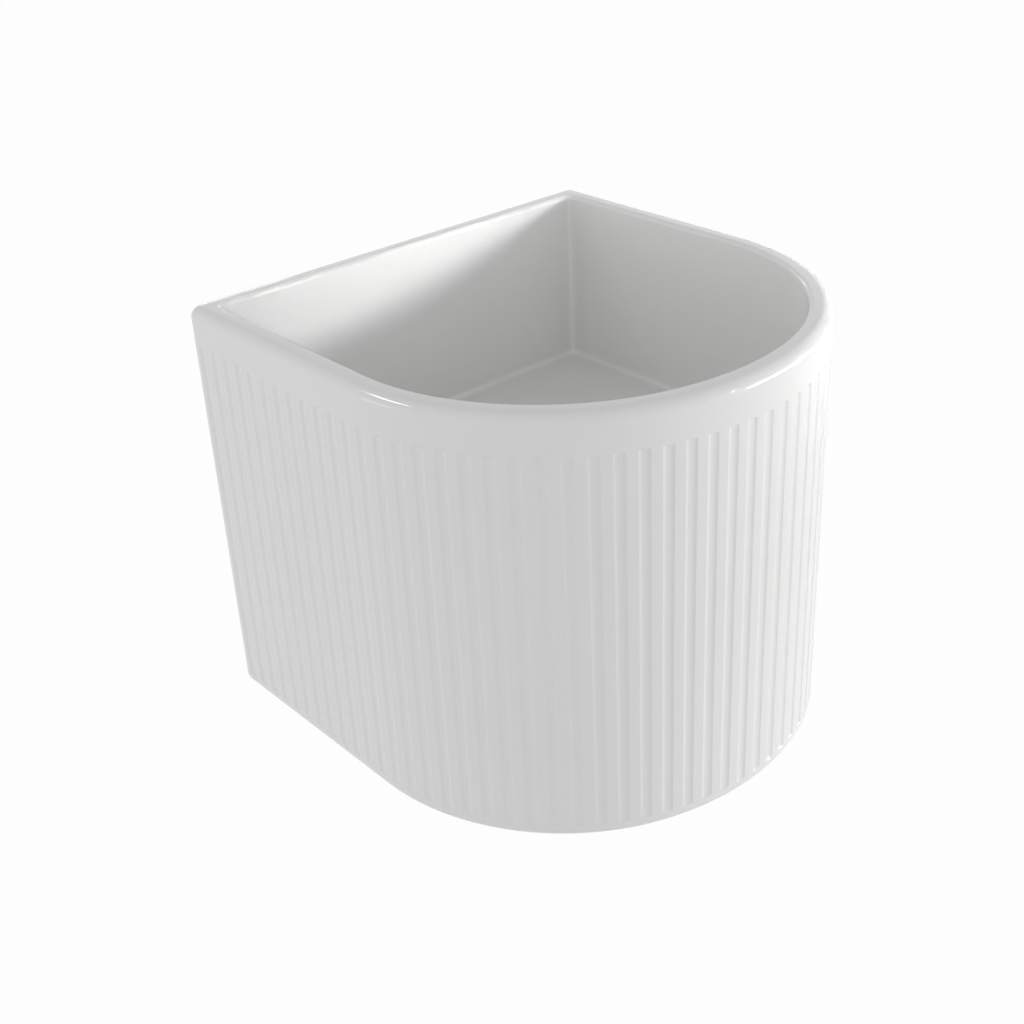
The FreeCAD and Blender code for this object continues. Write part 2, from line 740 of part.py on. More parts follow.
def latch_spring():
    """A wire of flat-sided section wound from the floor of the cartridge up to the rotor."""
    body = new_body("latch_spring")
    sketch = new_sketch(body, "wire_section", "XZ_Plane")
    low = f"{BORE_FLOOR} + spring_wire / 2 + running_gap / 2"
    sides = int(value("wire_sides_count"))
    turns = [FULL_TURN * (side + 0.5) / sides for side in range(sides)]
    closed_profile(sketch, [
        (
            f"(spring_width - spring_wire) / 2 + spring_wire / 2 * cos({angle})",
            f"{low} + spring_wire / 2 * sin({angle})",
        )
        for angle in turns
    ])
    coil = body.newObject("PartDesign::AdditiveHelix", "coil")
    coil.Profile = sketch
    coil.ReferenceAxis = (sketch, ["V_Axis"])
    coil.Mode = "height-turns-angle"
    coil.Turns = value("spring_turns_count")
    bind(coil, "Height", f"{ROTOR_UNDER} - {BORE_FLOOR} - spring_wire - running_gap")
    doc.recompute()
    return place_waste_part(body)


rotor = latch_rotor()
spring = latch_spring()
doc.recompute()

# Every piece is looked at before any file is written
PIECES = [
    basin_body, sleeves, waste, gasket, tapered_seal, slip_washer, back_nut, housing,
    lock_nut, cartridge_cap, cap, carrier, ring, stem, rotor, spring,
]
for item in doc.Objects:
    faults = [state for state in item.State if state in ("Invalid", "Error")]
    assert not faults, f"{item.Label} did not build: {item.State}"
for piece in PIECES:
    assert not piece.Shape.isNull(), f"{piece.Label} is empty"
    assert piece.Shape.isValid(), f"{piece.Label} is not valid"

os.makedirs("parts", exist_ok=True)
for piece in PIECES:
    piece.Shape.exportStep(os.path.join("parts", f"{piece.Label}.step"))
    box = piece.Shape.optimalBoundingBox(False)
    spans = f"{box.XLength:.1f} x {box.YLength:.1f} x {box.ZLength:.1f}"
    print(f"{piece.Label}: {len(piece.Shape.Solids)} solid, {spans} mm, {piece.Shape.Volume:.0f} mm3")
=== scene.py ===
import json
import math
from typing import NamedTuple

import bmesh
import bpy
from bpy.props import FloatProperty, FloatVectorProperty, IntProperty, PointerProperty
from mathutils import Matrix, Vector


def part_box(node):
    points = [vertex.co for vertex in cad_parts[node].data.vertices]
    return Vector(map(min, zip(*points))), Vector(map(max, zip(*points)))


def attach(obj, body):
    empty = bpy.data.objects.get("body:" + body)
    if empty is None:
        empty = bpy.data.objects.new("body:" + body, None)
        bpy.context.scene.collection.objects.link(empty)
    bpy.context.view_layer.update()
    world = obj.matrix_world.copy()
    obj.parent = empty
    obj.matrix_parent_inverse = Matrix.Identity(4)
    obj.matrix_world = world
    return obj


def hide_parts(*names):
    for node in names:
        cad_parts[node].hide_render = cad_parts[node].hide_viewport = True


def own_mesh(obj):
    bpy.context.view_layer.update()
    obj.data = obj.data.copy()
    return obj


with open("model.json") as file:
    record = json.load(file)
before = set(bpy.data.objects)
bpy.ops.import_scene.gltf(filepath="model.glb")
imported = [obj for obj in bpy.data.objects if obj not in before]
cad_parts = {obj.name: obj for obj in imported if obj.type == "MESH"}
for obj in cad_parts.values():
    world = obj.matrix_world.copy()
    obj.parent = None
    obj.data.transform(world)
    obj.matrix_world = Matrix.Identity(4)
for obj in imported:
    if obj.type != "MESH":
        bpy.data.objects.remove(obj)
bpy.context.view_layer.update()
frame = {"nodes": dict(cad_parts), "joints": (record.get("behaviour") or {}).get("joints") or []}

bl_info = {
    "name": "Fluted Washbasin",
    "version": (1, 0, 0),
    "blender": (4, 5, 0),
    "location": "3D View > Sidebar > Washbasin",
    "description": "Makes a wall-hung washbasin with a fluted skirt, its fixings and its waste",
    "category": "Add Mesh",
}

FULL_TURN = 2 * math.pi
RIGHT_ANGLE = math.pi / 2
BODY_LOW, BODY_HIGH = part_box("basin_body")
BODY_SPAN = BODY_HIGH - BODY_LOW
TUBE_LOW, TUBE_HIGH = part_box("waste_body")
NUT_LOW, NUT_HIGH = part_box("back_nut")
CAP_LOW, CAP_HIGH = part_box("plug_cap")
SPRING_LOW, SPRING_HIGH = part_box("latch_spring")
SLEEVE_LOW, SLEEVE_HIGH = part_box("fixing_sleeves")
PLUG_TRAVEL = next(joint for joint in frame["joints"] if joint["name"] == "plug_travel")
# Two points nearer than this are one
MERGE = 1e-5
# Share of the painted highlight, a whiter glaze colour put into the concave corners, kept on the points of
# the body, and how closely it keeps to the corners
HIGHLIGHT_ATTRIBUTE = "painted_highlight"
HIGHLIGHT_FOCUS = 8
# Finishes of the faces of the body. The outside is clay on the flat back and glazed elsewhere.
GLAZED, INSIDE, CLAY, OUTSIDE = range(4)
# Steps of a quarter round
SMALL_STEPS = 4
SKIRT_STEPS = 6
CAP_STEPS = 6
FOOT_STEPS = 9
CORNER_STEPS = 10
RIM_STEPS = 12
# Rows or columns of points along a run
ARCH_TOP_PLACES = 6
ARCH_SIDE_PLACES = 8
BACK_END_PLACES = 7
FLUTE_END_PLACES = 7
FLOOR_PLACES = 18
UNDERSIDE_PLACES = 10
DOME_PLACES = 24
# Sides of a full circle
FIXING_SIDES = 48
HUB_SIDES = 48
SLEEVE_SIDES = 64
TUBE_SIDES = 96
DOME_SIDES = 128
WIRE_SIDES = 12
# Steps of one turn of the spring, of one turn of the thread's height, and of one side of the nut
COIL_STEPS = 40
THREAD_STEPS = 8
NUT_STEPS = 16
# Steps across a bevel, on the bridge and on the carried-over pieces
BRIDGE_BEVEL_STEPS = 3
PIECE_BEVEL_STEPS = 2
# Creases from this angle on stay sharp, in degrees
SHARP = 50.0
TURNED_SHARP = 60.0
NUT_SHARP = 25.0
BEVEL_SHARP = 35.0
# Share of the rise of the spring that eases in and out
COIL_EASE_SHARE = 0.35
# Share of an edge that a soft corner may take up at each end
REACH_SHARE = 1 / 3
# Share of a pitch over which the thread fades out under the groove
FADE_SHARE = 0.25
# The flat ends of the nut reach half its width times the cosine of this share of half a side's turn
NUT_END_SHARE = 1 / 3


# Settings that a user would change
def length(name, default, description):
    return FloatProperty(
        name=name, description=description, default=default, unit="LENGTH", subtype="DISTANCE", precision=4,
    )


def share(name, default, description):
    return FloatProperty(name=name, description=description, default=default, subtype="FACTOR")


def number(name, default, description):
    return IntProperty(name=name, description=description, default=default, min=1)


def angle(name, degrees, description):
    return FloatProperty(
        name=name, description=description, default=math.radians(degrees), unit="ROTATION", subtype="ANGLE",
    )


def colour(name, default, description):
    return FloatVectorProperty(
        name=name, description=description, default=default, size=3, min=0.0, max=1.0, subtype="COLOR",
    )


class BodySizes(bpy.types.PropertyGroup):
    """The ceramic body in plan and in section."""

    width: length("Width", BODY_SPAN.x, "Across the flat back")
    depth: length("Depth", BODY_SPAN.y, "From the wall to the front")
    height: length("Height", BODY_SPAN.z, "From the foot of the skirt to the rim")
    side_arc: length("Side arc", 0.191, "Radius of the plan at each side")
    front_arc: length("Front arc", 0.220, "Radius of the plan in front")
    back_corner: length("Back corner", 0.0095, "Round of the outer corners at the wall")
    rim_width: length("Rim width", 0.018, "Thickness of the wall at the rim")
    rim_outer: length("Rim outer round", 0.009, "Round of the rim outside")
    rim_inner: length("Rim inner round", 0.0038, "Round of the rim inside")
    bowl_depth: length("Bowl depth", 0.152, "From the rim to the floor of the bowl")
    bowl_fillet: length("Bowl fillet", 0.0075, "Round between the walls and the floor")
    floor: length("Floor thickness", 0.014, "Ceramic under the bowl")
    fall: length("Floor fall", 0.003, "How much lower the floor is at the waste")
    fall_reach: length("Fall reach", 0.130, "Where the floor starts to fall")
    recess_half: length("Recess radius", 0.034, "Radius of the recess for the flange")
    recess_depth: length("Recess depth", 0.003, "Depth of the recess for the flange")
    hole_half: length("Waste hole radius", 0.023, "Radius of the hole for the waste")
    glaze_round: length("Glaze round", 0.0012, "Softness of the small edges under the glaze")
    wall: length("Skirt wall", 0.012, "Thickness of the skirt")
    skirt_fillet: length("Skirt fillet", 0.010, "Round under the bowl, inside the skirt")
    foot_round: length("Foot round", 0.009, "Round of the foot outside")
    foot_inner: length("Foot inner round", 0.0015, "Round of the foot inside")


class FluteSizes(bpy.types.PropertyGroup):
    """The flutes of the skirt."""

    per_side: number("Flutes per side", 30, "Flutes from the wall to the middle of the front")
    mouth: length("Mouth", 0.0084, "Width of a flute at the surface")
    depth: length("Depth", 0.0010, "How deep a flute is under its thick glaze")
    fullness: number("Fullness", 3, "Shape of the hollow: 2 for an arc, more for a flatter floor")
    edge: share("Flute edge", 0.16, "Softness of the edges of a flute, as a share of its depth")
    low: length("Low end", 0.011, "Height of the lower ends of the flutes")
    top_band: length("Top band", 0.030, "Plain band from the rim to the flutes")
    end_run: length("End run", 0.0018, "How far a flute takes to reach its depth at its ends")


class OpeningSizes(bpy.types.PropertyGroup):
    """The arch for the pipes and the fixing holes in the back wall."""

    arch_half: length("Arch half width", 0.090, "Half width of the arch for the pipes")
    arch_height: length("Arch height", 0.140, "Height of the arch")
    arch_corner: length("Arch corner", 0.040, "Round of the top corners of the arch")
    arch_foot: length("Arch foot", 0.010, "Round where the arch meets the foot")
    arch_edge: length("Arch edge", 0.003, "Softness of the edges of the arch")
    held_half: length("Held half", 0.160, "Half width of the back in which the mesh stays upright")
    mesh_step: length("Mesh step", 0.004, "Width of the faces round the fixing holes")
    hole_out: length("Hole spacing", 0.140, "From the middle to each fixing hole")
    hole_up: length("Hole height", 0.130, "From the foot to the fixing holes")
    hole_half: length("Hole radius", 0.008, "Radius of the fixing holes")
    hole_edge: length("Hole edge", 0.0012, "Softness of the edges of the fixing holes")
    hole_frame: length("Hole frame", 0.012, "Half side of the flat patch round each hole")


class WasteSizes(bpy.types.PropertyGroup):
    """The waste fitting, its nut, its plug and its spring."""

    thread_half: length("Thread radius", 0.020955, "Outer radius of the thread")
    thread_pitch: length("Thread pitch", 0.002309, "Rise of the thread in one turn")
    thread_depth: length("Thread depth", 0.0013, "From crest to root")
    thread_end: length("Thread end", 0.0012, "Chamfer at the end of the thread")
    bore_half: length("Bore radius", 0.018, "Radius of the bore")
    seat_depth: length("Seat depth", 0.006, "Depth of the cone that the plug sits in")
    flange_edge: length("Flange edge", 0.002, "Thickness of the flange")
    cone_half: length("Cone radius", 0.0235, "Radius of the neck under the flange")
    relief_width: length("Relief width", 0.002, "Width of the groove under the nut")
    relief_depth: length("Relief depth", 0.0006, "Depth of the groove under the nut")
    bridge_drop: length("Bridge drop", 0.042, "From the top of the flange to the bridge")
    bridge_height: length("Bridge height", 0.006, "Height of the arms of the bridge")
    bridge_arm: length("Bridge arm", 0.0036, "Thickness of the arms of the bridge")
    bridge_arms: number("Bridge arms", 3, "Arms of the bridge")
    hub_half: length("Hub radius", 0.007, "Radius of the hub of the bridge")
    hub_bore: length("Hub bore", 0.00415, "Radius of the hole in the hub")
    hub_height: length("Hub height", 0.008, "Height of the hub")
    edge: length("Edge", 0.0004, "Softness of the turned edges")
    nut_sides: number("Nut sides", 6, "Sides of the back nut")
    nut_bore: length("Nut bore", 0.021105, "Radius of the bore of the back nut")
    nut_chamfer: angle("Nut chamfer", 30.0, "Slope of the corners of the back nut")
    cap_edge: length("Cap edge", 0.0024, "Height of the edge of the cap")
    cap_round: length("Cap round", 0.0009, "Softness of the edge of the cap")
    wire: length("Wire", 0.001, "Thickness of the spring wire")
    coils: number("Coils", 5, "Turns of the spring")
    coil_end: share("Closed end", 0.09, "Share of the coil at each end that lies nearly flat")
    sleeve_bore: length("Sleeve bore", 0.0055, "Radius of the bore of a sleeve")
    sleeve_half: length("Sleeve radius", 0.0079, "Radius of the barrel of a sleeve")
    sleeve_lip: length("Sleeve lip", 0.003, "Thickness of the lip of a sleeve")
    sleeve_flange: length("Sleeve flange", 0.012, "Radius of the lip of a sleeve")
    node_edge: length("Piece edge", 0.0003, "Softness of the edges of the small pieces")


class Finishes(bpy.types.PropertyGroup):
    """Colours of the finishes."""

    glaze: colour("Glaze", (0.885, 0.885, 0.88), "White glaze")
    glaze_thin: colour("Thin glaze", (0.83, 0.83, 0.82), "Glaze where it lies thinner")
    # Painted highlight: a whiter colour put into the concave corners and fillets of the bowl, where bright
    # lines of light show
    highlight_white: colour("Painted highlight", (0.96, 0.96, 0.955), "Whiter colour painted into the corners of the bowl as a highlight")
    bisque: colour("Bisque", (0.74, 0.71, 0.66), "Bare fired clay")
    chrome: colour("Chrome", (0.80, 0.81, 0.82), "Polished chrome plate")
    brass: colour("Brass", (0.78, 0.62, 0.34), "Turned brass")
    brass_dull: colour("Dull brass", (0.55, 0.41, 0.20), "Brass in the roots of the turning marks")
    rubber: colour("Rubber", (0.035, 0.035, 0.038), "Moulded rubber")
    rubber_bloom: colour("Rubber bloom", (0.075, 0.075, 0.078), "Pale bloom on the rubber")
    nylon: colour("Nylon", (0.82, 0.81, 0.77), "Natural nylon")
    acetal: colour("Acetal", (0.76, 0.76, 0.74), "Satin acetal")
    steel: colour("Steel", (0.60, 0.60, 0.61), "Drawn spring wire")
    floor: colour("Floor", (0.90, 0.90, 0.90), "Plain pale floor")


class StudioSettings(bpy.types.PropertyGroup):
    """The camera, the lamps and the floor."""

    azimuth: angle("Azimuth", -39.6, "Turn of the camera from straight in front")
    elevation: angle("Elevation", 28.8671, "How far the camera looks down")
    roll: angle("Roll", -3.0683, "Tilt of the picture")
    distance: length("Distance", 1.16017, "From the aim to the camera")
    aim: FloatVectorProperty(
        name="Aim", description="Point that the middle of the picture shows", subtype="XYZ",
        default=(-0.05413, 0.0, 0.18471), unit="LENGTH",
    )
    lens: FloatProperty(name="Lens", description="Focal length in millimetres", default=52.571)
    floor_half: length("Floor", 12.0, "Half side of the floor")
    floor_glow: share("Floor glow", 0.97, "Share of plain white in what the camera sees of the floor")
    air: share("Air", 1.16, "Brightness of the light from the sides")
    air_above: share("Air above", 0.41, "Brightness of the light from straight above")
    haze_low: share("Haze low", 0.07, "Rise at which the light from the sides starts to fade")
    haze_high: share("Haze high", 0.69, "Rise from which the light is that from above")


class Washbasin(bpy.types.PropertyGroup):
    """All the settings."""

    body: PointerProperty(type=BodySizes)
    flutes: PointerProperty(type=FluteSizes)
    openings: PointerProperty(type=OpeningSizes)
    waste: PointerProperty(type=WasteSizes)
    finishes: PointerProperty(type=Finishes)
    studio: PointerProperty(type=StudioSettings)


# Finishes
class Wire:
    """A socket in a material, on which sums are written as Python expressions."""

    def __init__(self, paint, socket):
        self.paint = paint
        self.socket = socket

    def sum(self, operation, first, second):
        return self.paint.node("ShaderNodeMath", {"operation": operation}, {0: first, 1: second})

    def __add__(self, other):
        return self.sum("ADD", self, other)

    __radd__ = __add__

    def __mul__(self, other):
        return self.sum("MULTIPLY", self, other)

    __rmul__ = __mul__

    def __pow__(self, other):
        return self.sum("POWER", self, other)

    def __gt__(self, other):
        return self.sum("GREATER_THAN", self, other)


class Paint:
    """A new material or world, its nodes and its shader."""

    def __init__(self, name, shelf=None):
        self.block = (bpy.data.materials if shelf is None else shelf).new(name)
        self.block.use_nodes = True
        self.tree = self.block.node_tree
        self.tree.nodes.clear()

    def node(self, kind, settings=None, sockets=None, output=0):
        """A node with its settings, then the values or links of its sockets. Gives one of its outputs."""
        made = self.tree.nodes.new(kind)
        for name, setting in (settings or {}).items():
            setattr(made, name, setting)
        for name, entry in (sockets or {}).items():
            if isinstance(entry, Wire):
                self.tree.links.new(entry.socket, made.inputs[name])
            else:
                made.inputs[name].default_value = entry
        return Wire(self, made.outputs[output]) if made.outputs else None

    def noise(self, per_metre, detail, stretch=None, rough=0.5):
        """Soft noise from 0 to 1, with its grain count to the metre, drawn out along an axis at will."""
        where = self.node("ShaderNodeTexCoord", output="Object")
        if stretch:
            where = self.node("ShaderNodeMapping", sockets={"Vector": where, "Scale": stretch})
        sockets = {"Vector": where, "Scale": per_metre, "Detail": detail, "Roughness": rough}
        return self.node("ShaderNodeTexNoise", sockets=sockets)

    def blend(self, factor, first, second):
        """A colour between two colours."""
        sockets = {0: factor, 6: opaque(first), 7: opaque(second)}
        return self.node("ShaderNodeMix", {"data_type": "RGBA"}, sockets, output=2)

    def dimmed(self, factor, shade):
        """A colour that falls off slightly where the factor is high."""
        return self.blend(factor, shade, [channel * DIM_SHARE for channel in shade])

    def finish(self, shade, wear, height, skin, **constants):
        """Close the material with its colour, the noise that roughens it and the height of its relief."""
        relief = {"Height": height, "Strength": skin.strength, "Distance": skin.relief}
        sockets = {
            "Base Color": shade,
            "Roughness": skin.rough + wear * skin.wear,
            "Normal": self.node("ShaderNodeBump", sockets=relief),
            **constants,
        }
        shader = self.node("ShaderNodeBsdfPrincipled", sockets=sockets)
        self.node("ShaderNodeOutputMaterial", sockets={"Surface": shader})
        return self.block

    def looked_at(self):
        """1 for what the camera, gloss and glass look at, 0 for the light that falls on a surface."""
        ways = [self.node("ShaderNodeLightPath", output=f"Is {way} Ray") for way in LOOKS]
        return sum(ways) > LOOK_LIMIT


class Skin(NamedTuple):
    """Roughness of a finish, what its wear adds to it, and the strength and depth of its relief."""

    rough: float
    wear: float
    strength: float
    relief: float


GLAZE_SKIN = Skin(0.055, 0.05, 0.10, 0.0012)
THIN_GLAZE_SKIN = Skin(0.28, 0.30, 0.25, 0.0003)
CLAY_SKIN = Skin(0.72, 0.20, 0.35, 0.0002)
PLATE_SKIN = Skin(0.05, 0.06, 0.04, 0.0004)
BRASS_SKIN = Skin(0.20, 0.18, 0.30, 0.00005)
RUBBER_SKIN = Skin(0.62, 0.25, 0.30, 0.00005)
NYLON_SKIN = Skin(0.38, 0.12, 0.15, 0.00004)
ACETAL_SKIN = Skin(0.30, 0.12, 0.15, 0.00004)
WIRE_SKIN = Skin(0.24, 0.20, 0.15, 0.00003)
# How much each noise counts, as a share
PATCH_SHARE = 0.35
GRAIN_SHARE = 0.004
CLOUD_SHARE = 0.6
SPECK_SHARE = 0.3
FINE_SHARE = 1 / 3
RING_SHARE = 0.4
STAIN_SHARE = 0.3
FLOW_SHARE = 0.6
FLOOR_TONE_SHARE = 0.1
# Shape of the bloom: the more, the fewer patches
BLOOM_POWER = 2.0
# What is left of a colour where it is dimmed most
DIM_SHARE = 0.9
WHITE = (1.0, 1.0, 1.0)
LOOKS = ("Camera", "Glossy", "Transmission")
# Between no way at all and one of them
LOOK_LIMIT = 0.5


def opaque(shade):
    return shade if isinstance(shade, Wire) else (*shade, 1.0)


def glaze_finish(finishes):
    """Glossy white glaze with a faint swell and slightly thinner patches, and a whiter colour painted into
    the corners as a highlight.
    """
    paint = Paint("white_glaze")
    pool = paint.noise(per_metre=9.0, detail=3.0)
    swell = paint.noise(per_metre=22.0, detail=1.0)
    grain = paint.noise(per_metre=900.0, detail=2.0)
    even = paint.blend(pool * PATCH_SHARE, finishes.glaze, finishes.glaze_thin)
    # Painted highlight: the share kept on the corner points whitens the colour there
    corner = paint.node("ShaderNodeAttribute", {"attribute_name": HIGHLIGHT_ATTRIBUTE}, output="Fac")
    shade = paint.blend(corner, even, finishes.highlight_white)
    return paint.finish(shade, pool, swell + grain * GRAIN_SHARE, GLAZE_SKIN, IOR=1.52)


def inside_finish(finishes):
    """The thin, duller glaze that reaches inside the skirt."""
    paint = Paint("thin_glaze")
    pool = paint.noise(per_metre=14.0, detail=4.0)
    grain = paint.noise(per_metre=420.0, detail=3.0)
    shade = paint.blend(pool, finishes.glaze_thin, finishes.bisque)
    return paint.finish(shade, pool, grain, THIN_GLAZE_SKIN, IOR=1.5)


def bisque_finish(finishes):
    """Bare fired clay, ground flat where the body stands against the wall and on its foot."""
    paint = Paint("bare_clay")
    speck = paint.noise(per_metre=1400.0, detail=4.0, rough=0.7)
    cloud = paint.noise(per_metre=16.0, detail=3.0)
    shade = paint.blend(cloud * CLOUD_SHARE + speck * SPECK_SHARE, finishes.glaze_thin, finishes.bisque)
    return paint.finish(shade, speck, speck, CLAY_SKIN)


def chrome_finish(finishes):
    """Polished plate with a faint haze."""
    paint = Paint("chrome_plate")
    haze = paint.noise(per_metre=60.0, detail=3.0)
    fine = paint.noise(per_metre=2500.0, detail=1.0)
    wear = haze + fine * FINE_SHARE
    return paint.finish(paint.dimmed(haze, finishes.chrome), wear, haze, PLATE_SKIN, Metallic=1.0)


def brass_finish(finishes):
    """Turned brass, with the fine rings that the tool leaves."""
    paint = Paint("turned_brass")
    rings = paint.noise(per_metre=3.0, detail=2.0, stretch=(1.0, 1.0, 900.0))
    stain = paint.noise(per_metre=120.0, detail=4.0)
    shade = paint.blend(rings * RING_SHARE + stain * STAIN_SHARE, finishes.brass, finishes.brass_dull)
    return paint.finish(shade, stain, rings, BRASS_SKIN, Metallic=1.0)


def rubber_finish(finishes):
    """Matt moulded rubber with a pale bloom."""
    paint = Paint("moulded_rubber")
    bloom = paint.noise(per_metre=90.0, detail=4.0)
    fine = paint.noise(per_metre=5000.0, detail=2.0)
    shade = paint.blend(bloom ** BLOOM_POWER, finishes.rubber, finishes.rubber_bloom)
    return paint.finish(shade, bloom, fine, RUBBER_SKIN)


def plastic_finish(name, shade, skin):
    """Moulded plastic with a fine skin and a slight flow of its colour."""
    paint = Paint(name)
    flow = paint.noise(per_metre=150.0, detail=2.0)
    fine = paint.noise(per_metre=4000.0, detail=2.0)
    return paint.finish(paint.dimmed(flow * FLOW_SHARE, shade), flow, fine, skin)


def steel_finish(finishes):
    """Drawn wire with a little oil on it."""
    paint = Paint("drawn_wire")
    draw = paint.noise(per_metre=900.0, detail=3.0)
    return paint.finish(paint.dimmed(draw, finishes.steel), draw, draw, WIRE_SKIN, Metallic=1.0)


def floor_finish(finishes, glow):
    """Pale floor that the camera, gloss and glass see as nearly plain white, with the shadow kept."""
    paint = Paint("pale_floor")
    tone = paint.noise(per_metre=0.7, detail=2.0)
    shade = paint.dimmed(tone * FLOOR_TONE_SHARE, finishes.floor)
    matt = paint.node("ShaderNodeBsdfDiffuse", sockets={"Color": shade})
    white = paint.node("ShaderNodeEmission", sockets={"Color": opaque(WHITE), "Strength": 1.0})
    both = paint.node("ShaderNodeMixShader", sockets={0: paint.looked_at() * glow, 1: matt, 2: white})
    paint.node("ShaderNodeOutputMaterial", sockets={"Surface": both})
    return paint.block


# Mesh helpers
def finished_piece(name, mesh, materials, body, slot, *nodes):
    """Show a mesh as a piece that rides on a body and stands for CAD nodes."""
    for material in materials:
        mesh.materials.append(material)
    piece = bpy.data.objects.new(name, mesh)
    bpy.context.scene.collection.objects.link(piece)
    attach(piece, body)
    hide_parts(*nodes)
    return piece


def mesh_from(name, form, sharp_degrees=SHARP):
    """A smooth mesh from a bmesh, with its creases kept."""
    bmesh.ops.recalc_face_normals(form, faces=form.faces)
    mesh = bpy.data.meshes.new(name)
    form.to_mesh(mesh)
    form.free()
    mesh.shade_smooth()
    mesh.set_sharp_from_angle(angle=math.radians(sharp_degrees))
    return mesh


def grid_faces(form, rows, material_of=lambda row, column: 0):
    """Faces between rows of points. Rows and columns both close on themselves."""
    row_count, column_count = len(rows), len(rows[0])
    for row in range(row_count):
        below, above = rows[row], rows[(row + 1) % row_count]
        for column in range(column_count):
            after = (column + 1) % column_count
            face = form.faces.new((below[column], below[after], above[after], above[column]))
            face.material_index = material_of(row, column)


def open_faces(form, rings):
    """Faces between rings of points, with both ends left open."""
    made = []
    for below, above in zip(rings, rings[1:]):
        for step in range(len(below)):
            after = (step + 1) % len(below)
            made.append(form.faces.new((below[step], below[after], above[after], above[step])))
    return made


def closed_form(form, rings):
    """Faces between rings of points and across both ends."""
    open_faces(form, rings)
    form.faces.new(rings[0])
    form.faces.new(rings[-1])


def circle_turns(count):
    return [FULL_TURN * step / count for step in range(count)]


def quarter(steps, start=0):
    """Angles from 0 to a right angle."""
    return [RIGHT_ANGLE * step / steps for step in range(start, steps + 1)]


def rounded_edge(soft, steps):
    """How far the points of a rounded edge stand back from one of its faces and from the other."""
    return [(soft * (1 - math.sin(turn)), soft * (1 - math.cos(turn))) for turn in quarter(steps)]


def clamped(part):
    """A share kept between 0 and 1."""
    return min(max(part, 0.0), 1.0)


def ease(part):
    """A smooth step from 0 to 1."""
    part = clamped(part)
    return part * part * (3 - 2 * part)


def highlight_across(turn):
    """Share of the painted highlight across a hollow quarter round, with the most in its middle."""
    return math.sin(2 * turn) ** HIGHLIGHT_FOCUS


def spread(low, high, count):
    """Values from low to high, both ends among them."""
    return [low + (high - low) * step / (count - 1) for step in range(count)]


# The ceramic body, as columns round its plan and rows along its section
class Row(NamedTuple):
    """The place of a row in each column, the finish of the faces after it, and its share of the painted
    highlight.
    """

    place: object
    finish: int
    glaze: object = None


class Column:
    """One line of points. Its place in plan depends on the inset and on where the corner hubs stand."""

    def __init__(self, at, groove=0.0, edge=None, edge_round=0.0, painted_highlight=0.0):
        self.at = at
        self.groove = groove
        self.edge = edge
        self.edge_round = edge_round
        self.painted_highlight = painted_highlight
        self.side = 1

    def mirrored(self):
        other = Column(self.at, self.groove, self.edge, self.edge_round, self.painted_highlight)
        other.side = -1
        return other

    def point(self, inset, hub, height):
        across, along = self.at(inset, hub)
        return Vector((self.side * across, along, height))

    def low_point(self, inset, hub, rise):
        """A point near the lower edge, which is the foot or the border of the arch."""
        point = self.point(inset, hub, rise)
        if self.edge:
            (across, height), (out_across, out_up) = self.edge
            point.x = self.side * (across + out_across * rise)
            point.z = height + out_up * rise
        return point


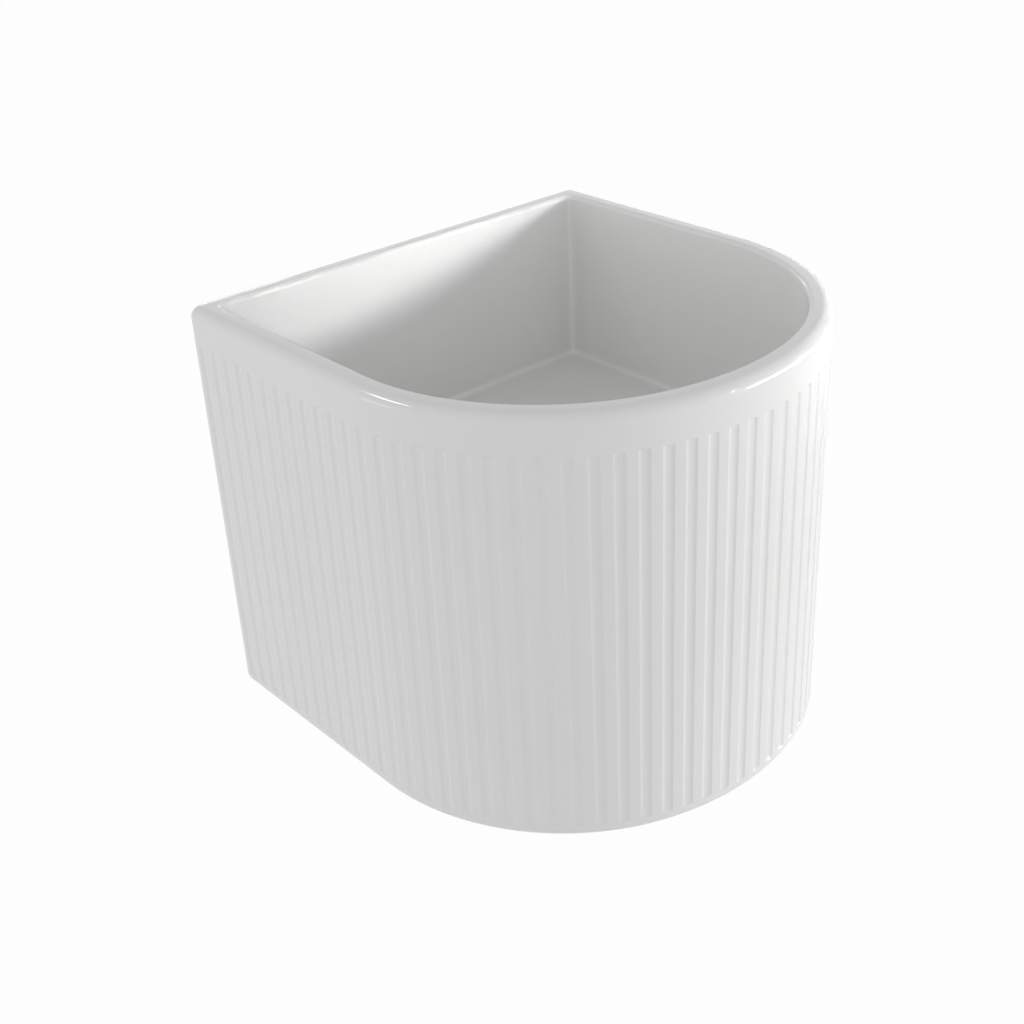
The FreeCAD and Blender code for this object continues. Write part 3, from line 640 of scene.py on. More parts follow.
class BodyForm:
    """Works out the columns and rows of the body."""

    HOLLOW_SHARES = (0.0, 0.25, 0.45, 0.6, 0.72, 0.82, 0.9, 0.96, 1.02, 1.08, 1.15, 1.25, 1.5)

    def __init__(self, body, flutes, openings):
        self.body, self.flutes, self.openings = body, flutes, openings
        self.half = body.width / 2
        self.back = body.depth / 2
        self.side_x = self.half - body.side_arc
        lead = body.front_arc - body.side_arc
        self.front_y = body.front_arc - self.back
        self.side_y = self.front_y - math.sqrt(lead ** 2 - self.side_x ** 2)
        self.side_turn = math.acos(self.side_x / lead)
        self.straight = self.back - self.side_y
        self.side_length = body.side_arc * self.side_turn
        front_length = body.front_arc * (RIGHT_ANGLE - self.side_turn)
        self.half_length = self.straight + self.side_length + front_length
        self.pitch = 2 * self.half_length / (2 * flutes.per_side + 1)
        self.outer_hub = body.back_corner
        self.bowl_hub = body.rim_width + body.bowl_fillet
        self.skirt_hub = body.wall + body.skirt_fillet
        self.floor = body.height - body.bowl_depth
        self.underside = self.floor - body.floor

    # Places in plan
    def on_back(self, across):
        """On the flat back. Beyond the held half, columns spread to the corner."""
        held = self.openings.held_half
        part = max(0.0, across - held) / (self.half - self.outer_hub - held)

        def at(inset, hub):
            return min(across, held) + (self.half - hub - held) * part, self.back - inset

        return at

    def on_corner(self, turn):
        def at(inset, hub):
            radius = hub - inset
            return self.half - hub + radius * math.cos(turn), self.back - hub + radius * math.sin(turn)

        return at

    def on_side(self, along):
        part = (self.straight - along) / (self.straight - self.outer_hub)

        def at(inset, hub):
            return self.half - inset, self.side_y + part * (self.back - hub - self.side_y)

        return at

    def on_arc(self, along):
        turn = (along - self.straight) / self.body.side_arc
        centre_x, centre_y, reach = self.side_x, self.side_y, self.body.side_arc
        if turn > self.side_turn:
            turn = self.side_turn + (along - self.straight - self.side_length) / self.body.front_arc
            centre_x, centre_y, reach = 0.0, self.front_y, self.body.front_arc

        def at(inset, hub):
            radius = reach - inset
            return centre_x + radius * math.cos(turn), centre_y - radius * math.sin(turn)

        return at

    # Columns from the middle of the back to the middle of the front
    def arch_border(self):
        """Points on the right half of the arch, from its top to the foot, with the way into the wall."""
        openings = self.openings
        bend = openings.arch_corner
        hub_x, hub_z = openings.arch_half - bend, openings.arch_height - bend
        top = spread(0.0, hub_x, ARCH_TOP_PLACES)[:-1]
        border = [((across, openings.arch_height), (0.0, 1.0)) for across in top]
        for turn in reversed(quarter(CORNER_STEPS)):
            out_x, out_z = math.cos(turn), math.sin(turn)
            border.append(((hub_x + bend * out_x, hub_z + bend * out_z), (out_x, out_z)))
        foot = openings.arch_foot
        for height in spread(hub_z, foot, ARCH_SIDE_PLACES)[1:-1]:
            border.append(((openings.arch_half, height), (1.0, 0.0)))
        for turn in quarter(SKIRT_STEPS)[:-1]:
            out_x, out_z = math.cos(turn), math.sin(turn)
            border.append(((openings.arch_half + foot * (1 - out_x), foot * (1 - out_z)), (out_x, out_z)))
        return border

    def back_columns(self):
        openings = self.openings
        foot_start = openings.arch_half + openings.arch_foot
        border = self.arch_border()
        columns = []
        for edge in border:
            (border_x, border_z), (out_x, out_z) = edge
            lift = ease((openings.arch_foot - border_z) / openings.arch_foot)
            soft = openings.arch_edge + (self.body.foot_round - openings.arch_edge) * lift
            # The columns fan out upwards, so that none of them crosses the arch
            low_x = border_x + out_x * soft
            across = low_x + (foot_start - low_x) * (1 - border_z / openings.arch_height)
            columns.append(Column(self.on_back(across), edge=edge, edge_round=soft))
        steps = round((openings.held_half - foot_start) / openings.mesh_step)
        places = spread(foot_start, openings.held_half, steps + 1)
        places += spread(openings.held_half, self.half - self.outer_hub, BACK_END_PLACES)[1:-1]
        columns += [Column(self.on_back(across), edge_round=self.body.foot_round) for across in places]
        return columns

    def flute_places(self):
        """Distances along the plan at which columns stand, with the depth share of the flute there."""
        reach = self.flutes.mouth / 2
        shares = [-part for part in reversed(self.HOLLOW_SHARES[1:])] + list(self.HOLLOW_SHARES)
        places = [(self.outer_hub, 0.0)]
        for index in range(1, self.flutes.per_side + 1):
            places += [(index * self.pitch + reach * part, self.hollow(abs(part))) for part in shares]
            places.append(((index + 0.5) * self.pitch, 0.0))
        return places

    def hollow(self, part):
        """Depth share of a flute at a share of its half width, with a soft edge."""
        fall = 1 - part ** self.flutes.fullness
        return (fall + math.hypot(fall, self.flutes.edge)) / 2

    def half_columns(self):
        columns = self.back_columns()
        soft = self.body.foot_round
        for turn in reversed(quarter(CORNER_STEPS, start=1)):
            # The corner columns carry a share of the painted highlight, used in the corners of the bowl
            columns.append(Column(self.on_corner(turn), edge_round=soft, painted_highlight=highlight_across(turn)))
        for along, groove in self.flute_places():
            at = self.on_side(along) if along < self.straight else self.on_arc(along)
            columns.append(Column(at, groove, edge_round=soft))
        return columns

    def all_columns(self):
        right = self.half_columns()
        self.back_count = len(self.back_columns())
        self.half_count = len(right)
        left = [column.mirrored() for column in reversed(right[1:-1])]
        return right + left

    def is_back(self, column):
        """Whether the face after a column lies on the flat back."""
        total = 2 * self.half_count - 2
        return column < self.back_count or column >= total - self.back_count

    # Rows along the section
    def level(self, inset, hub, height, finish, glaze=None):
        """A row at one inset and one height all round."""
        return Row(lambda column: column.point(inset, hub, height), finish, glaze)

    def foot_rows(self):
        """The round of the foot inside, then outside. The wall goes on from its last row."""
        rows = []
        for rise, back in rounded_edge(self.body.foot_inner, SMALL_STEPS):
            inset = self.body.wall - back
            rows.append(Row(lambda c, i=inset, r=rise: c.low_point(i, self.skirt_hub, r), CLAY))
        for back, rise in rounded_edge(1, FOOT_STEPS)[:-1]:

            def outer(column, b=back, r=rise):
                return column.low_point(column.edge_round * b, self.outer_hub, column.edge_round * r)

            rows.append(Row(outer, OUTSIDE))
        return rows

    def flute_ends(self):
        """Heights of the wall rows with the share of the flute's depth there."""
        flutes = self.flutes
        high = self.body.height - flutes.top_band
        parts = spread(0.0, 1.0, FLUTE_END_PLACES)
        low_run = [(flutes.low + flutes.end_run * part, ease(part)) for part in parts]
        high_run = [(high - flutes.end_run * part, ease(part)) for part in reversed(parts)]
        frame_low = self.openings.hole_up - self.openings.hole_frame
        frame_high = self.openings.hole_up + self.openings.hole_frame
        return low_run + [(frame_low, 1.0), (frame_high, 1.0)] + high_run

    def wall_rows(self):
        low, high = self.body.foot_round, self.body.height - self.flutes.top_band
        rows = [Row(lambda column: self.wall_point(column, 0.0, 0.0), OUTSIDE)]
        for height, depth_share in self.flute_ends():
            part = (height - low) / (high - low)
            rows.append(Row(lambda c, p=part, d=depth_share: self.wall_point(c, p, d), OUTSIDE))
        return rows

    def wall_point(self, column, part, depth_share):
        """A point on the outer wall, between the end of the foot round and the top of the flutes."""
        inset = self.flutes.depth * column.groove * depth_share
        low = column.low_point(inset, self.outer_hub, column.edge_round)
        high = column.point(inset, self.outer_hub, self.body.height - self.flutes.top_band)
        return low.lerp(high, part)

    def rim_rows(self):
        """The round of the rim outside, then inside, where the painted highlight in the corners starts."""
        body = self.body
        rows = []
        for drop, inset in rounded_edge(body.rim_outer, RIM_STEPS):
            rows.append(self.level(inset, self.outer_hub, body.height - drop, GLAZED))
        for turn, (back, drop) in zip(quarter(RIM_STEPS), rounded_edge(body.rim_inner, RIM_STEPS)):

            # Painted highlight in the corners, growing down the inner round
            def glaze(column, t=turn):
                return column.painted_highlight * math.sin(t)

            rows.append(self.level(body.rim_width - back, self.bowl_hub, body.height - drop, GLAZED, glaze))
        return rows

    def bowl_rows(self):
        """The round between the wall of the bowl and its floor, with the painted highlight along it."""
        body = self.body
        rows = []
        for turn, (rise, out) in zip(quarter(RIM_STEPS), rounded_edge(body.bowl_fillet, RIM_STEPS)):

            # Painted highlight, most in the middle of the fillet and where it meets a corner
            def glaze(column, t=turn):
                return min(highlight_across(t) + column.painted_highlight * math.cos(t), 1.0)

            rows.append(self.level(body.rim_width + out, self.bowl_hub, self.floor + rise, GLAZED, glaze))
        return rows

    def floor_rows(self):
        """The floor of the bowl with its fall, the recess for the flange and the hole for the waste."""
        body = self.body
        soft = body.glaze_round
        rows = []

        def on_floor(column, part):
            start = column.point(self.bowl_hub, self.bowl_hub, 0.0).length
            reach = start + (body.recess_half + soft - start) * part
            fall = body.fall * ease((body.fall_reach - reach) / (body.fall_reach - body.recess_half))
            return self.on_circle(column, reach, self.floor - fall)

        for part in spread(0.0, 1.0, FLOOR_PLACES)[1:]:
            rows.append(Row(lambda c, p=part: on_floor(c, p), GLAZED))
        low = self.floor - body.fall - body.recess_depth
        edge = rounded_edge(soft, SMALL_STEPS)
        upper = [(body.recess_half + out, self.floor - body.fall - drop) for out, drop in edge[1:]]
        upper += [(body.recess_half, low + soft / 2), (body.recess_half - soft / 2, low)]
        upper += [(body.hole_half + out, low - drop) for out, drop in edge]
        lower = [(body.hole_half + out, self.underside + rise) for out, rise in reversed(edge)]
        for circles, finish in ((upper, GLAZED), (lower, INSIDE)):
            for reach, height in circles:
                rows.append(Row(lambda c, r=reach, h=height: self.on_circle(c, r, h), finish))
        return rows

    def on_circle(self, column, reach, height):
        """The point of a column on a circle about the waste."""
        point = column.point(self.bowl_hub, self.bowl_hub, 0.0).normalized() * reach
        point.z = height
        return point

    def skirt_rows(self):
        """Underside of the bowl, its fillet and the inner wall, down to the edge of the foot."""
        body, openings = self.body, self.openings
        rows = []

        def under(column, part):
            start = column.point(self.skirt_hub, self.skirt_hub, self.underside)
            return self.on_circle(column, body.hole_half, self.underside).lerp(start, part)

        for part in spread(0.0, 1.0, UNDERSIDE_PLACES)[1:]:
            rows.append(Row(lambda c, p=part: under(c, p), INSIDE))
        for out, drop in rounded_edge(body.skirt_fillet, SKIRT_STEPS)[1:]:
            rows.append(self.level(body.wall + out, self.skirt_hub, self.underside - drop, INSIDE))
        top = self.underside - body.skirt_fillet

        def inner(column, part):
            low = column.low_point(body.wall, self.skirt_hub, body.foot_inner)
            return column.point(body.wall, self.skirt_hub, top).lerp(low, part)

        for height in (openings.hole_up + openings.hole_frame, openings.hole_up - openings.hole_frame):
            part = (top - height) / (top - body.foot_inner)
            rows.append(Row(lambda c, p=part: inner(c, p), INSIDE))
        return rows

    def mesh(self):
        """The whole body as one closed surface."""
        columns = self.all_columns()
        rows = self.foot_rows() + self.wall_rows() + self.rim_rows() + self.bowl_rows()
        rows += self.floor_rows() + self.skirt_rows()
        form = bmesh.new()
        # Each point keeps its share of the painted highlight in this layer
        thick = form.verts.layers.float.new(HIGHLIGHT_ATTRIBUTE)
        points = []
        for row in rows:
            line = [form.verts.new(row.place(column)) for column in columns]
            if row.glaze:
                for vert, column in zip(line, columns):
                    vert[thick] = row.glaze(column)
            points.append(line)

        def material_of(row, column):
            finish = rows[row].finish
            if finish == OUTSIDE:
                return CLAY if self.is_back(column) else GLAZED
            return finish

        grid_faces(form, points, material_of)
        bmesh.ops.remove_doubles(form, verts=form.verts, dist=MERGE)
        for side in (-1, 1):
            self.fixing_hole(form, side)
        return mesh_from("basin_body_glazed", form)

    def fixing_hole(self, form, side):
        """Swap a square patch on both faces of the back wall for a round hole with soft edges."""
        openings = self.openings
        centre_x = side * openings.hole_out
        inner_y = self.back - self.body.wall

        def patch(level):
            near = []
            for face in form.faces:
                middle = face.calc_center_median()
                flat = abs(middle.y - level) < MERGE
                beside = abs(middle.x - centre_x) < openings.hole_frame
                if flat and beside and abs(middle.z - openings.hole_up) < openings.hole_frame:
                    near.append(face)
            return near

        edge = rounded_edge(openings.hole_edge, SMALL_STEPS)
        tube = [(openings.hole_half + out, self.back - drop) for out, drop in edge]
        tube += [(openings.hole_half + out, inner_y + rise) for out, rise in reversed(edge)]
        rings = []
        for radius, level in tube:
            ring = []
            for turn in circle_turns(FIXING_SIDES):
                ring.append(form.verts.new((
                    centre_x + radius * math.cos(turn), level, openings.hole_up + radius * math.sin(turn),
                )))
            rings.append(ring)
        for face in open_faces(form, rings):
            face.material_index = INSIDE
        for level, ring in ((self.back, rings[0]), (inner_y, rings[-1])):
            faces = patch(level)
            finish = faces[0].material_index
            edges = {edge for face in faces for edge in face.edges}
            border = {edge for edge in edges if not all(face in faces for face in edge.link_faces)}
            bmesh.ops.delete(form, geom=faces, context="FACES_ONLY")
            circle = [edge for vert in ring for edge in vert.link_edges if edge.other_vert(vert) in ring]
            made = bmesh.ops.bridge_loops(form, edges=list(border) + list(set(circle)))
            for face in made["faces"]:
                face.material_index = finish
        loose = [edge for edge in form.edges if not edge.link_faces]
        bmesh.ops.delete(form, geom=loose, context="EDGES")


# Turned pieces of the waste
def turned_rows(form, profile, count, thread=None):
    """Rows of points from a profile of radius, height and, on a thread, the depth that the thread cuts."""
    rows = []
    for radius, height, *cuts in profile:
        row = []
        for turn in circle_turns(count):
            reach = radius - sum(cut * thread(height, turn) for cut in cuts)
            row.append(form.verts.new((reach * math.cos(turn), reach * math.sin(turn), height)))
        rows.append(row)
    return rows


def softened(corners, soft, steps=3):
    """Round each corner of a closed profile by an arc that starts about one radius before it."""
    rounded = []
    count = len(corners)
    for index in range(count):
        before, here, after = (Vector(corners[(index + shift) % count]) for shift in (-1, 0, 1))
        reach = min(soft, (before - here).length * REACH_SHARE, (after - here).length * REACH_SHARE)
        start = here + (before - here).normalized() * reach
        end = here + (after - here).normalized() * reach
        for part in spread(0.0, 1.0, steps + 1):
            rounded.append(tuple(start.lerp(here, part).lerp(here.lerp(end, part), part)))
    return rounded


def waste_tube(waste):
    """The tube with its rolled flange, its thread, and the bridge across its bore."""
    low, high = TUBE_LOW.z, TUBE_HIGH.z
    flange_half = TUBE_HIGH.x
    flange_under = high - waste.flange_edge
    nut_under = NUT_LOW.z
    edge = waste.edge
    outline = softened([
        (waste.thread_half - waste.relief_depth, nut_under - waste.relief_width),
        (waste.thread_half - waste.relief_depth, nut_under),
        (waste.thread_half, nut_under),
        (waste.thread_half, flange_under - (waste.cone_half - waste.thread_half)),
        (waste.cone_half, flange_under),
        (flange_half, flange_under),
        (flange_half, high - waste.flange_edge / 2),
        (flange_half - waste.flange_edge / 2, high),
        (waste.bore_half + waste.seat_depth, high),
        (waste.bore_half, high - waste.seat_depth),
        (waste.bore_half, low),
        (waste.thread_half - waste.thread_end, low),
    ], edge)
    thread_top = nut_under - waste.relief_width
    run = thread_top - low
    threads = []
    for part in spread(0.0, 1.0, round(THREAD_STEPS * run / waste.thread_pitch)):
        rise = run * part
        fade = min(ease(rise / waste.thread_pitch), ease((run - rise) / (waste.thread_pitch * FADE_SHARE)))
        chamfer = waste.thread_end * max(0.0, 1 - rise / waste.thread_end)
        threads.append((waste.thread_half - chamfer, low + rise, waste.thread_depth * fade))

    def thread(height, turn):
        phase = FULL_TURN * (height / waste.thread_pitch) - turn
        return (1 - math.cos(phase)) / 2

    form = bmesh.new()
    grid_faces(form, turned_rows(form, outline + threads[1:-1], TUBE_SIDES, thread))
    bridge(form, waste, high - waste.bridge_drop)
    return mesh_from("waste_tube_threaded", form, TURNED_SHARP)


def bridge(form, waste, top):
    """The hub of the bridge and its arms, with soft edges."""
    hub = softened([
        (waste.hub_bore, top),
        (waste.hub_half, top),
        (waste.hub_half, top - waste.hub_height),
        (waste.hub_bore, top - waste.hub_height),
    ], waste.edge)
    grid_faces(form, turned_rows(form, hub, HUB_SIDES))
    outer = (waste.bore_half + waste.thread_half) / 2
    inner = (waste.hub_bore + waste.hub_half) / 2
    for index in range(waste.bridge_arms):
        turn = Matrix.Rotation(FULL_TURN * index / waste.bridge_arms, 4, "Z")
        middle = Vector(((inner + outer) / 2, 0.0, top - waste.bridge_height / 2))
        size = Vector((outer - inner, waste.bridge_arm, waste.bridge_height))
        place = turn @ Matrix.Translation(middle) @ Matrix.Diagonal((*size, 1.0))
        made = bmesh.ops.create_cube(form, size=1.0, matrix=place)
        edges = list({edge for vert in made["verts"] for edge in vert.link_edges})
        soft = 2 * waste.edge
        bmesh.ops.bevel(form, geom=edges, offset=soft, segments=BRIDGE_BEVEL_STEPS, affect="EDGES")


def back_nut(waste):
    """A flat-sided nut with turned corners and a chamfered bore."""
    low, high = NUT_LOW.z, NUT_HIGH.z
    sides = waste.nut_sides
    flat_half = NUT_HIGH.y
    slope = math.tan(waste.nut_chamfer)
    half_side = math.pi / sides
    soft = waste.thread_pitch / 2
    start = flat_half * math.cos(half_side * NUT_END_SHARE)
    form = bmesh.new()
    rows = []
    # Radius and height of each row, from how far out the side of the nut is at a point
    for place in (
        lambda reach: (waste.nut_bore, low + soft),
        lambda reach: (waste.nut_bore + soft, low),
        lambda reach: (start, low),
        lambda reach: (reach, low + (reach - start) * slope),
        lambda reach: (reach, high - (reach - start) * slope),
        lambda reach: (start, high),
        lambda reach: (waste.nut_bore + soft, high),
        lambda reach: (waste.nut_bore, high - soft),
    ):
        row = []
        for turn in circle_turns(sides * NUT_STEPS):
            from_corner = (turn + half_side) % (2 * half_side) - half_side
            from_flat = from_corner - math.copysign(half_side, from_corner)
            radius, height = place(flat_half / math.cos(from_flat))
            row.append(form.verts.new((radius * math.cos(turn), radius * math.sin(turn), height)))
        rows.append(row)
    grid_faces(form, rows)
    return mesh_from("back_nut_chamfered", form, NUT_SHARP)


def plug_dome(waste):
    """The cap with a true dome and a rolled edge."""
    low, high = CAP_LOW.z, CAP_HIGH.z
    half = CAP_HIGH.x
    crown = high - low - waste.cap_edge
    sphere = (half ** 2 + crown ** 2) / (2 * crown)
    profile = []
    for part in spread(0.0, 1.0, DOME_PLACES)[1:-1]:
        reach = half * part
        profile.append((reach, high - sphere + math.sqrt(sphere ** 2 - reach ** 2)))
    edge = rounded_edge(waste.cap_round, CAP_STEPS)
    profile += [(half - back, low + waste.cap_edge - drop) for back, drop in edge[1:]]
    profile += [(half - back, low + rise) for back, rise in reversed(edge)]
    profile.append((half / 2, low))
    form = bmesh.new()
    closed_form(form, turned_rows(form, profile, DOME_SIDES))
    return mesh_from("plug_cap_domed", form, TURNED_SHARP)


def spring_coil(waste):
    """Round wire with its end turns closed."""
    wire = waste.wire / 2
    mean = SPRING_HIGH.x - wire
    low, high = SPRING_LOW.z + wire, SPRING_HIGH.z - wire
    form = bmesh.new()
    rings = []
    for part in spread(0.0, 1.0, COIL_STEPS * waste.coils + 1):
        turn = FULL_TURN * waste.coils * part
        climb = clamped((part - waste.coil_end) / (1 - 2 * waste.coil_end))
        centre_z = low + (high - low) * (COIL_EASE_SHARE * ease(climb) + (1 - COIL_EASE_SHARE) * climb)
        ring = []
        for wire_turn in circle_turns(WIRE_SIDES):
            reach = mean + wire * math.cos(wire_turn)
            height = centre_z + wire * math.sin(wire_turn)
            ring.append(form.verts.new((reach * math.cos(turn), reach * math.sin(turn), height)))
        rings.append(ring)
    closed_form(form, rings)
    return mesh_from("latch_spring_coil", form)


def sleeves(waste, openings):
    """Two flanged bushes with soft edges and a lead-in at the bore."""
    profile = softened([
        (waste.sleeve_bore, SLEEVE_LOW.y),
        (waste.sleeve_bore, SLEEVE_HIGH.y),
        (waste.sleeve_half, SLEEVE_HIGH.y),
        (waste.sleeve_half, SLEEVE_LOW.y + waste.sleeve_lip),
        (waste.sleeve_flange, SLEEVE_LOW.y + waste.sleeve_lip),
        (waste.sleeve_flange, SLEEVE_LOW.y),
    ], waste.edge)
    form = bmesh.new()
    for side in (-1, 1):
        centre_x = side * openings.hole_out
        rows = turned_rows(form, profile, SLEEVE_SIDES)
        for row in rows:
            for vert in row:
                vert.co = Vector((centre_x + vert.co.x, vert.co.z, openings.hole_up + vert.co.y))
        grid_faces(form, rows)
    return mesh_from("fixing_sleeves_moulded", form)


# Operators, one for each piece or group of like pieces
def settings():
    return bpy.context.scene.washbasin


def dress(node, material):
    """Give a carried-over piece its finish and soft edges."""
    piece = frame["nodes"][node]
    piece.data.materials.clear()
    piece.data.materials.append(material)
    bevel = piece.modifiers.new("soft edges", "BEVEL")
    bevel.width = settings().waste.node_edge
    bevel.segments = PIECE_BEVEL_STEPS
    bevel.limit_method = "ANGLE"
    bevel.angle_limit = math.radians(BEVEL_SHARP)
    bevel.harden_normals = True


class WASHBASIN_OT_body(bpy.types.Operator):
    """Make the glazed body with its fluted skirt"""

    bl_idname = "washbasin.body"
    bl_label = "Glazed body"

    def execute(self, context):
        made = settings()
        finishes = [maker(made.finishes) for maker in (glaze_finish, inside_finish, bisque_finish)]
        mesh = BodyForm(made.body, made.flutes, made.openings).mesh()
        piece = finished_piece("basin_body_glazed", mesh, finishes, "basin", "glaze", "basin_body")
        level = piece.modifiers.new("even normals", "WEIGHTED_NORMAL")
        level.keep_sharp = True
        return {"FINISHED"}


class WASHBASIN_OT_sleeves(bpy.types.Operator):
    """Make the two sleeves that line the fixing holes"""

    bl_idname = "washbasin.sleeves"
    bl_label = "Fixing sleeves"

    def execute(self, context):
        made = settings()
        nylon = plastic_finish("natural_nylon", made.finishes.nylon, NYLON_SKIN)
        mesh = sleeves(made.waste, made.openings)
        finished_piece("fixing_sleeves_moulded", mesh, [nylon], "basin", "nylon", "fixing_sleeves")
        dress("slip_washer", nylon)
        return {"FINISHED"}


class WASHBASIN_OT_waste(bpy.types.Operator):
    """Make the waste tube, its back nut and its seals"""

    bl_idname = "washbasin.waste"
    bl_label = "Waste"

    def execute(self, context):
        made = settings()
        chrome = chrome_finish(made.finishes)
        brass = brass_finish(made.finishes)
        rubber = rubber_finish(made.finishes)
        tube = waste_tube(made.waste)
        finished_piece("waste_tube_threaded", tube, [chrome], "basin", "chrome", "waste_body")
        nut = back_nut(made.waste)
        finished_piece("back_nut_chamfered", nut, [brass], "basin", "brass", "back_nut")
        for node in ("flange_gasket", "tapered_seal"):
            dress(node, rubber)
        return {"FINISHED"}


class WASHBASIN_OT_plug(bpy.types.Operator):
    """Make the plug: its cap, carrier, ring and stem"""

    bl_idname = "washbasin.plug"
    bl_label = "Plug"

    def execute(self, context):
        made = settings()
        chrome = chrome_finish(made.finishes)
        finished_piece("plug_cap_domed", plug_dome(made.waste), [chrome], "plug", "chrome", "plug_cap")
        dress("plug_carrier", plastic_finish("carrier_acetal", made.finishes.acetal, ACETAL_SKIN))
        dress("plug_seal", rubber_finish(made.finishes))
        dress("plug_stem", brass_finish(made.finishes))
        return {"FINISHED"}


class WASHBASIN_OT_latch(bpy.types.Operator):
    """Make the cartridge with its spring and its latch ring"""

    bl_idname = "washbasin.latch"
    bl_label = "Latch"

    def execute(self, context):
        made = settings()
        brass = brass_finish(made.finishes)
        for node in ("cartridge_housing", "cartridge_lock_nut", "cartridge_cap"):
            dress(node, brass)
        dress("latch_rotor", plastic_finish("rotor_acetal", made.finishes.acetal, ACETAL_SKIN))
        steel = steel_finish(made.finishes)
        coil = finished_piece(
            "latch_spring_coil", spring_coil(made.waste), [steel], "basin", "spring_steel", "latch_spring",
        )
        anchor = PLUG_TRAVEL["deforming_nodes"][0]["fixed_end_z_m"]
        travel = abs(PLUG_TRAVEL["range_m"][0])
        keep = (SPRING_HIGH.z - travel - anchor) / (SPRING_HIGH.z - anchor)
        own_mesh(coil)
        return {"FINISHED"}


class Lamp(NamedTuple):
    """
    A soft lamp. Its turn from straight in front and its rise, in degrees, are seen from what it is aimed
    at, and its reach is the way from there. Power is in watts, and the cone of its light in degrees.
    """

    name: str
    aim: tuple
    turn: float
    rise: float
    reach: float
    width: float
    height: float
    power: float
    cone: float = 180.0
    gloss_only: bool = False


# What the lamps are aimed at
BASIN_MIDDLE = (0.0, 0.0, 0.18)
BACK_WALL = (0.03, 0.18, 0.32)
LAMPS = (
    Lamp("bowl_lamp_near", BACK_WALL, 28.0, 8.0, 1.60, 0.32, 0.12, 0.048, 12.0),
    Lamp("bowl_lamp_middle", BACK_WALL, 40.0, 8.0, 1.60, 0.32, 0.12, 0.048, 12.0),
    Lamp("bowl_lamp_far", BACK_WALL, 52.0, 8.0, 1.60, 0.32, 0.12, 0.048, 12.0),
    Lamp("key_lamp", BASIN_MIDDLE, 51.0, 0.0, 2.00, 1.30, 0.34, 12.8),
    Lamp("left_lamp", BASIN_MIDDLE, -130.0, 39.0, 2.00, 0.60, 0.40, 1.0),
    Lamp("side_lamp", BASIN_MIDDLE, -118.0, 0.0, 2.00, 0.60, 0.40, 1.2),
    Lamp("back_lamp", BASIN_MIDDLE, 160.0, 18.0, 2.00, 0.30, 0.12, 0.8),
    Lamp("left_card", BASIN_MIDDLE, -123.0, 39.0, 2.00, 0.62, 0.12, 4.5, gloss_only=True),
    Lamp("right_card", BASIN_MIDDLE, 49.0, 0.0, 2.00, 0.60, 0.20, 7.0, gloss_only=True),
)


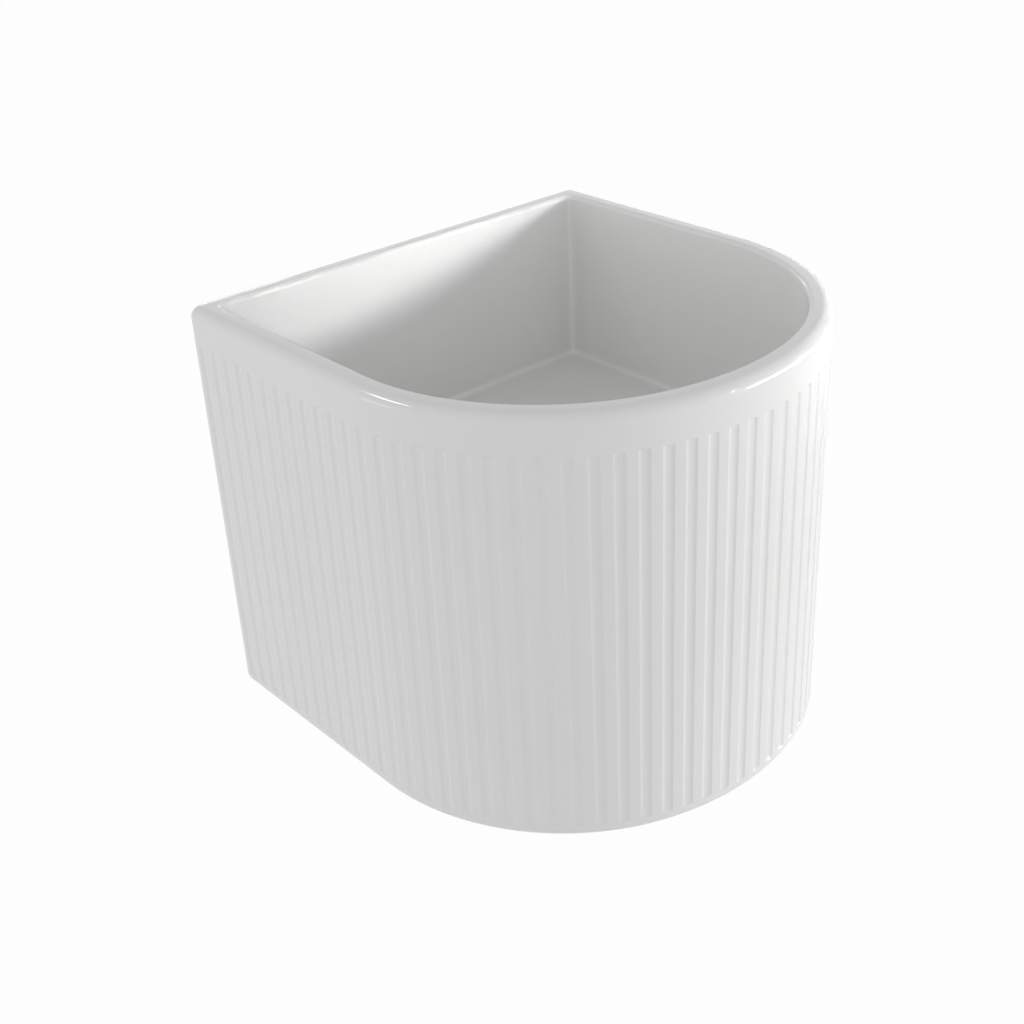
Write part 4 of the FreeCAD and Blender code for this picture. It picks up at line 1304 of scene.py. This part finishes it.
class WASHBASIN_OT_studio(bpy.types.Operator):
    """Set up the floor, the lamps, the air and the camera"""

    bl_idname = "washbasin.studio"
    bl_label = "Studio"

    def execute(self, context):
        studio = settings().studio
        self.floor(studio)
        self.air(studio)
        self.lamps()
        self.camera(studio)
        context.scene.view_settings.view_transform = "Standard"
        return {"FINISHED"}

    def floor(self, studio):
        half = studio.floor_half
        mesh = bpy.data.meshes.new("studio_floor")
        corners = [(-half, -half, 0.0), (half, -half, 0.0), (half, half, 0.0), (-half, half, 0.0)]
        mesh.from_pydata(corners, [], [(0, 1, 2, 3)])
        mesh.materials.append(floor_finish(settings().finishes, studio.floor_glow))
        floor = bpy.data.objects.new("studio_floor", mesh)
        bpy.context.scene.collection.objects.link(floor)

    def air(self, studio):
        """Soft light from all round, seen as white by the camera, gloss and glass."""
        paint = Paint("studio_air", bpy.data.worlds)
        way = paint.node("ShaderNodeTexCoord", output="Generated")
        rise = paint.node("ShaderNodeSeparateXYZ", sockets={"Vector": way}, output="Z")
        level = paint.node("ShaderNodeMapRange", {"interpolation_type": "SMOOTHSTEP"}, {
            "Value": rise,
            "From Min": studio.haze_low,
            "From Max": studio.haze_high,
            "To Min": studio.air,
            "To Max": studio.air_above,
        })
        soft = paint.node("ShaderNodeBackground", sockets={"Color": opaque(WHITE), "Strength": level})
        white = paint.node("ShaderNodeBackground", sockets={"Color": opaque(WHITE), "Strength": 1.0})
        both = paint.node("ShaderNodeMixShader", sockets={0: paint.looked_at(), 1: soft, 2: white})
        paint.node("ShaderNodeOutputWorld", sockets={"Surface": both})
        bpy.context.scene.world = paint.block

    def lamps(self):
        for plan in LAMPS:
            data = bpy.data.lights.new(plan.name, "AREA")
            data.shape = "RECTANGLE"
            data.size = plan.width
            data.size_y = plan.height
            data.energy = plan.power
            data.spread = math.radians(plan.cone)
            lamp = bpy.data.objects.new(plan.name, data)
            bpy.context.scene.collection.objects.link(lamp)
            toward = direction(math.radians(plan.turn), math.radians(plan.rise))
            lamp.location = Vector(plan.aim) + toward * plan.reach
            lamp.rotation_euler = toward.to_track_quat("Z", "Y").to_euler()
            lamp.visible_camera = False
            lamp.visible_diffuse = not plan.gloss_only

    def camera(self, studio):
        back = direction(studio.azimuth, studio.elevation)
        right = (-back).cross(Vector((0, 0, 1))).normalized()
        up = right.cross(-back)
        turned_right = right * math.cos(studio.roll) + up * math.sin(studio.roll)
        turned_up = up * math.cos(studio.roll) - right * math.sin(studio.roll)
        data = bpy.data.cameras.new("photo_camera")
        data.lens = studio.lens
        camera = bpy.data.objects.new("photo_camera", data)
        bpy.context.scene.collection.objects.link(camera)
        place = Matrix.Translation(Vector(studio.aim) + back * studio.distance)
        camera.matrix_world = place @ Matrix((turned_right, turned_up, back)).transposed().to_4x4()
        bpy.context.scene.camera = camera


def direction(turn, rise):
    """Unit vector that is turned from straight in front and raised."""
    return Vector((
        math.sin(turn) * math.cos(rise), -math.cos(turn) * math.cos(rise), math.sin(rise),
    ))


class WASHBASIN_PT_pieces(bpy.types.Panel):
    """Lists the pieces that can be made."""

    bl_idname = "WASHBASIN_PT_pieces"
    bl_label = "Washbasin"
    bl_space_type = "VIEW_3D"
    bl_region_type = "UI"
    bl_category = "Washbasin"

    def draw(self, context):
        for operator in OPERATORS:
            self.layout.operator(operator.bl_idname)


GROUPS = (BodySizes, FluteSizes, OpeningSizes, WasteSizes, Finishes, StudioSettings, Washbasin)
OPERATORS = (
    WASHBASIN_OT_body, WASHBASIN_OT_sleeves, WASHBASIN_OT_waste, WASHBASIN_OT_plug, WASHBASIN_OT_latch,
    WASHBASIN_OT_studio,
)
CLASSES = (*GROUPS, *OPERATORS, WASHBASIN_PT_pieces)


def register():
    for item in CLASSES:
        bpy.utils.register_class(item)
    bpy.types.Scene.washbasin = PointerProperty(type=Washbasin)


def unregister():
    del bpy.types.Scene.washbasin
    for item in reversed(CLASSES):
        bpy.utils.unregister_class(item)


def main():
    register()
    bpy.ops.washbasin.body()
    bpy.ops.washbasin.sleeves()
    bpy.ops.washbasin.waste()
    bpy.ops.washbasin.plug()
    bpy.ops.washbasin.latch()
    bpy.ops.washbasin.studio()


if __name__ == "__main__":
    main()
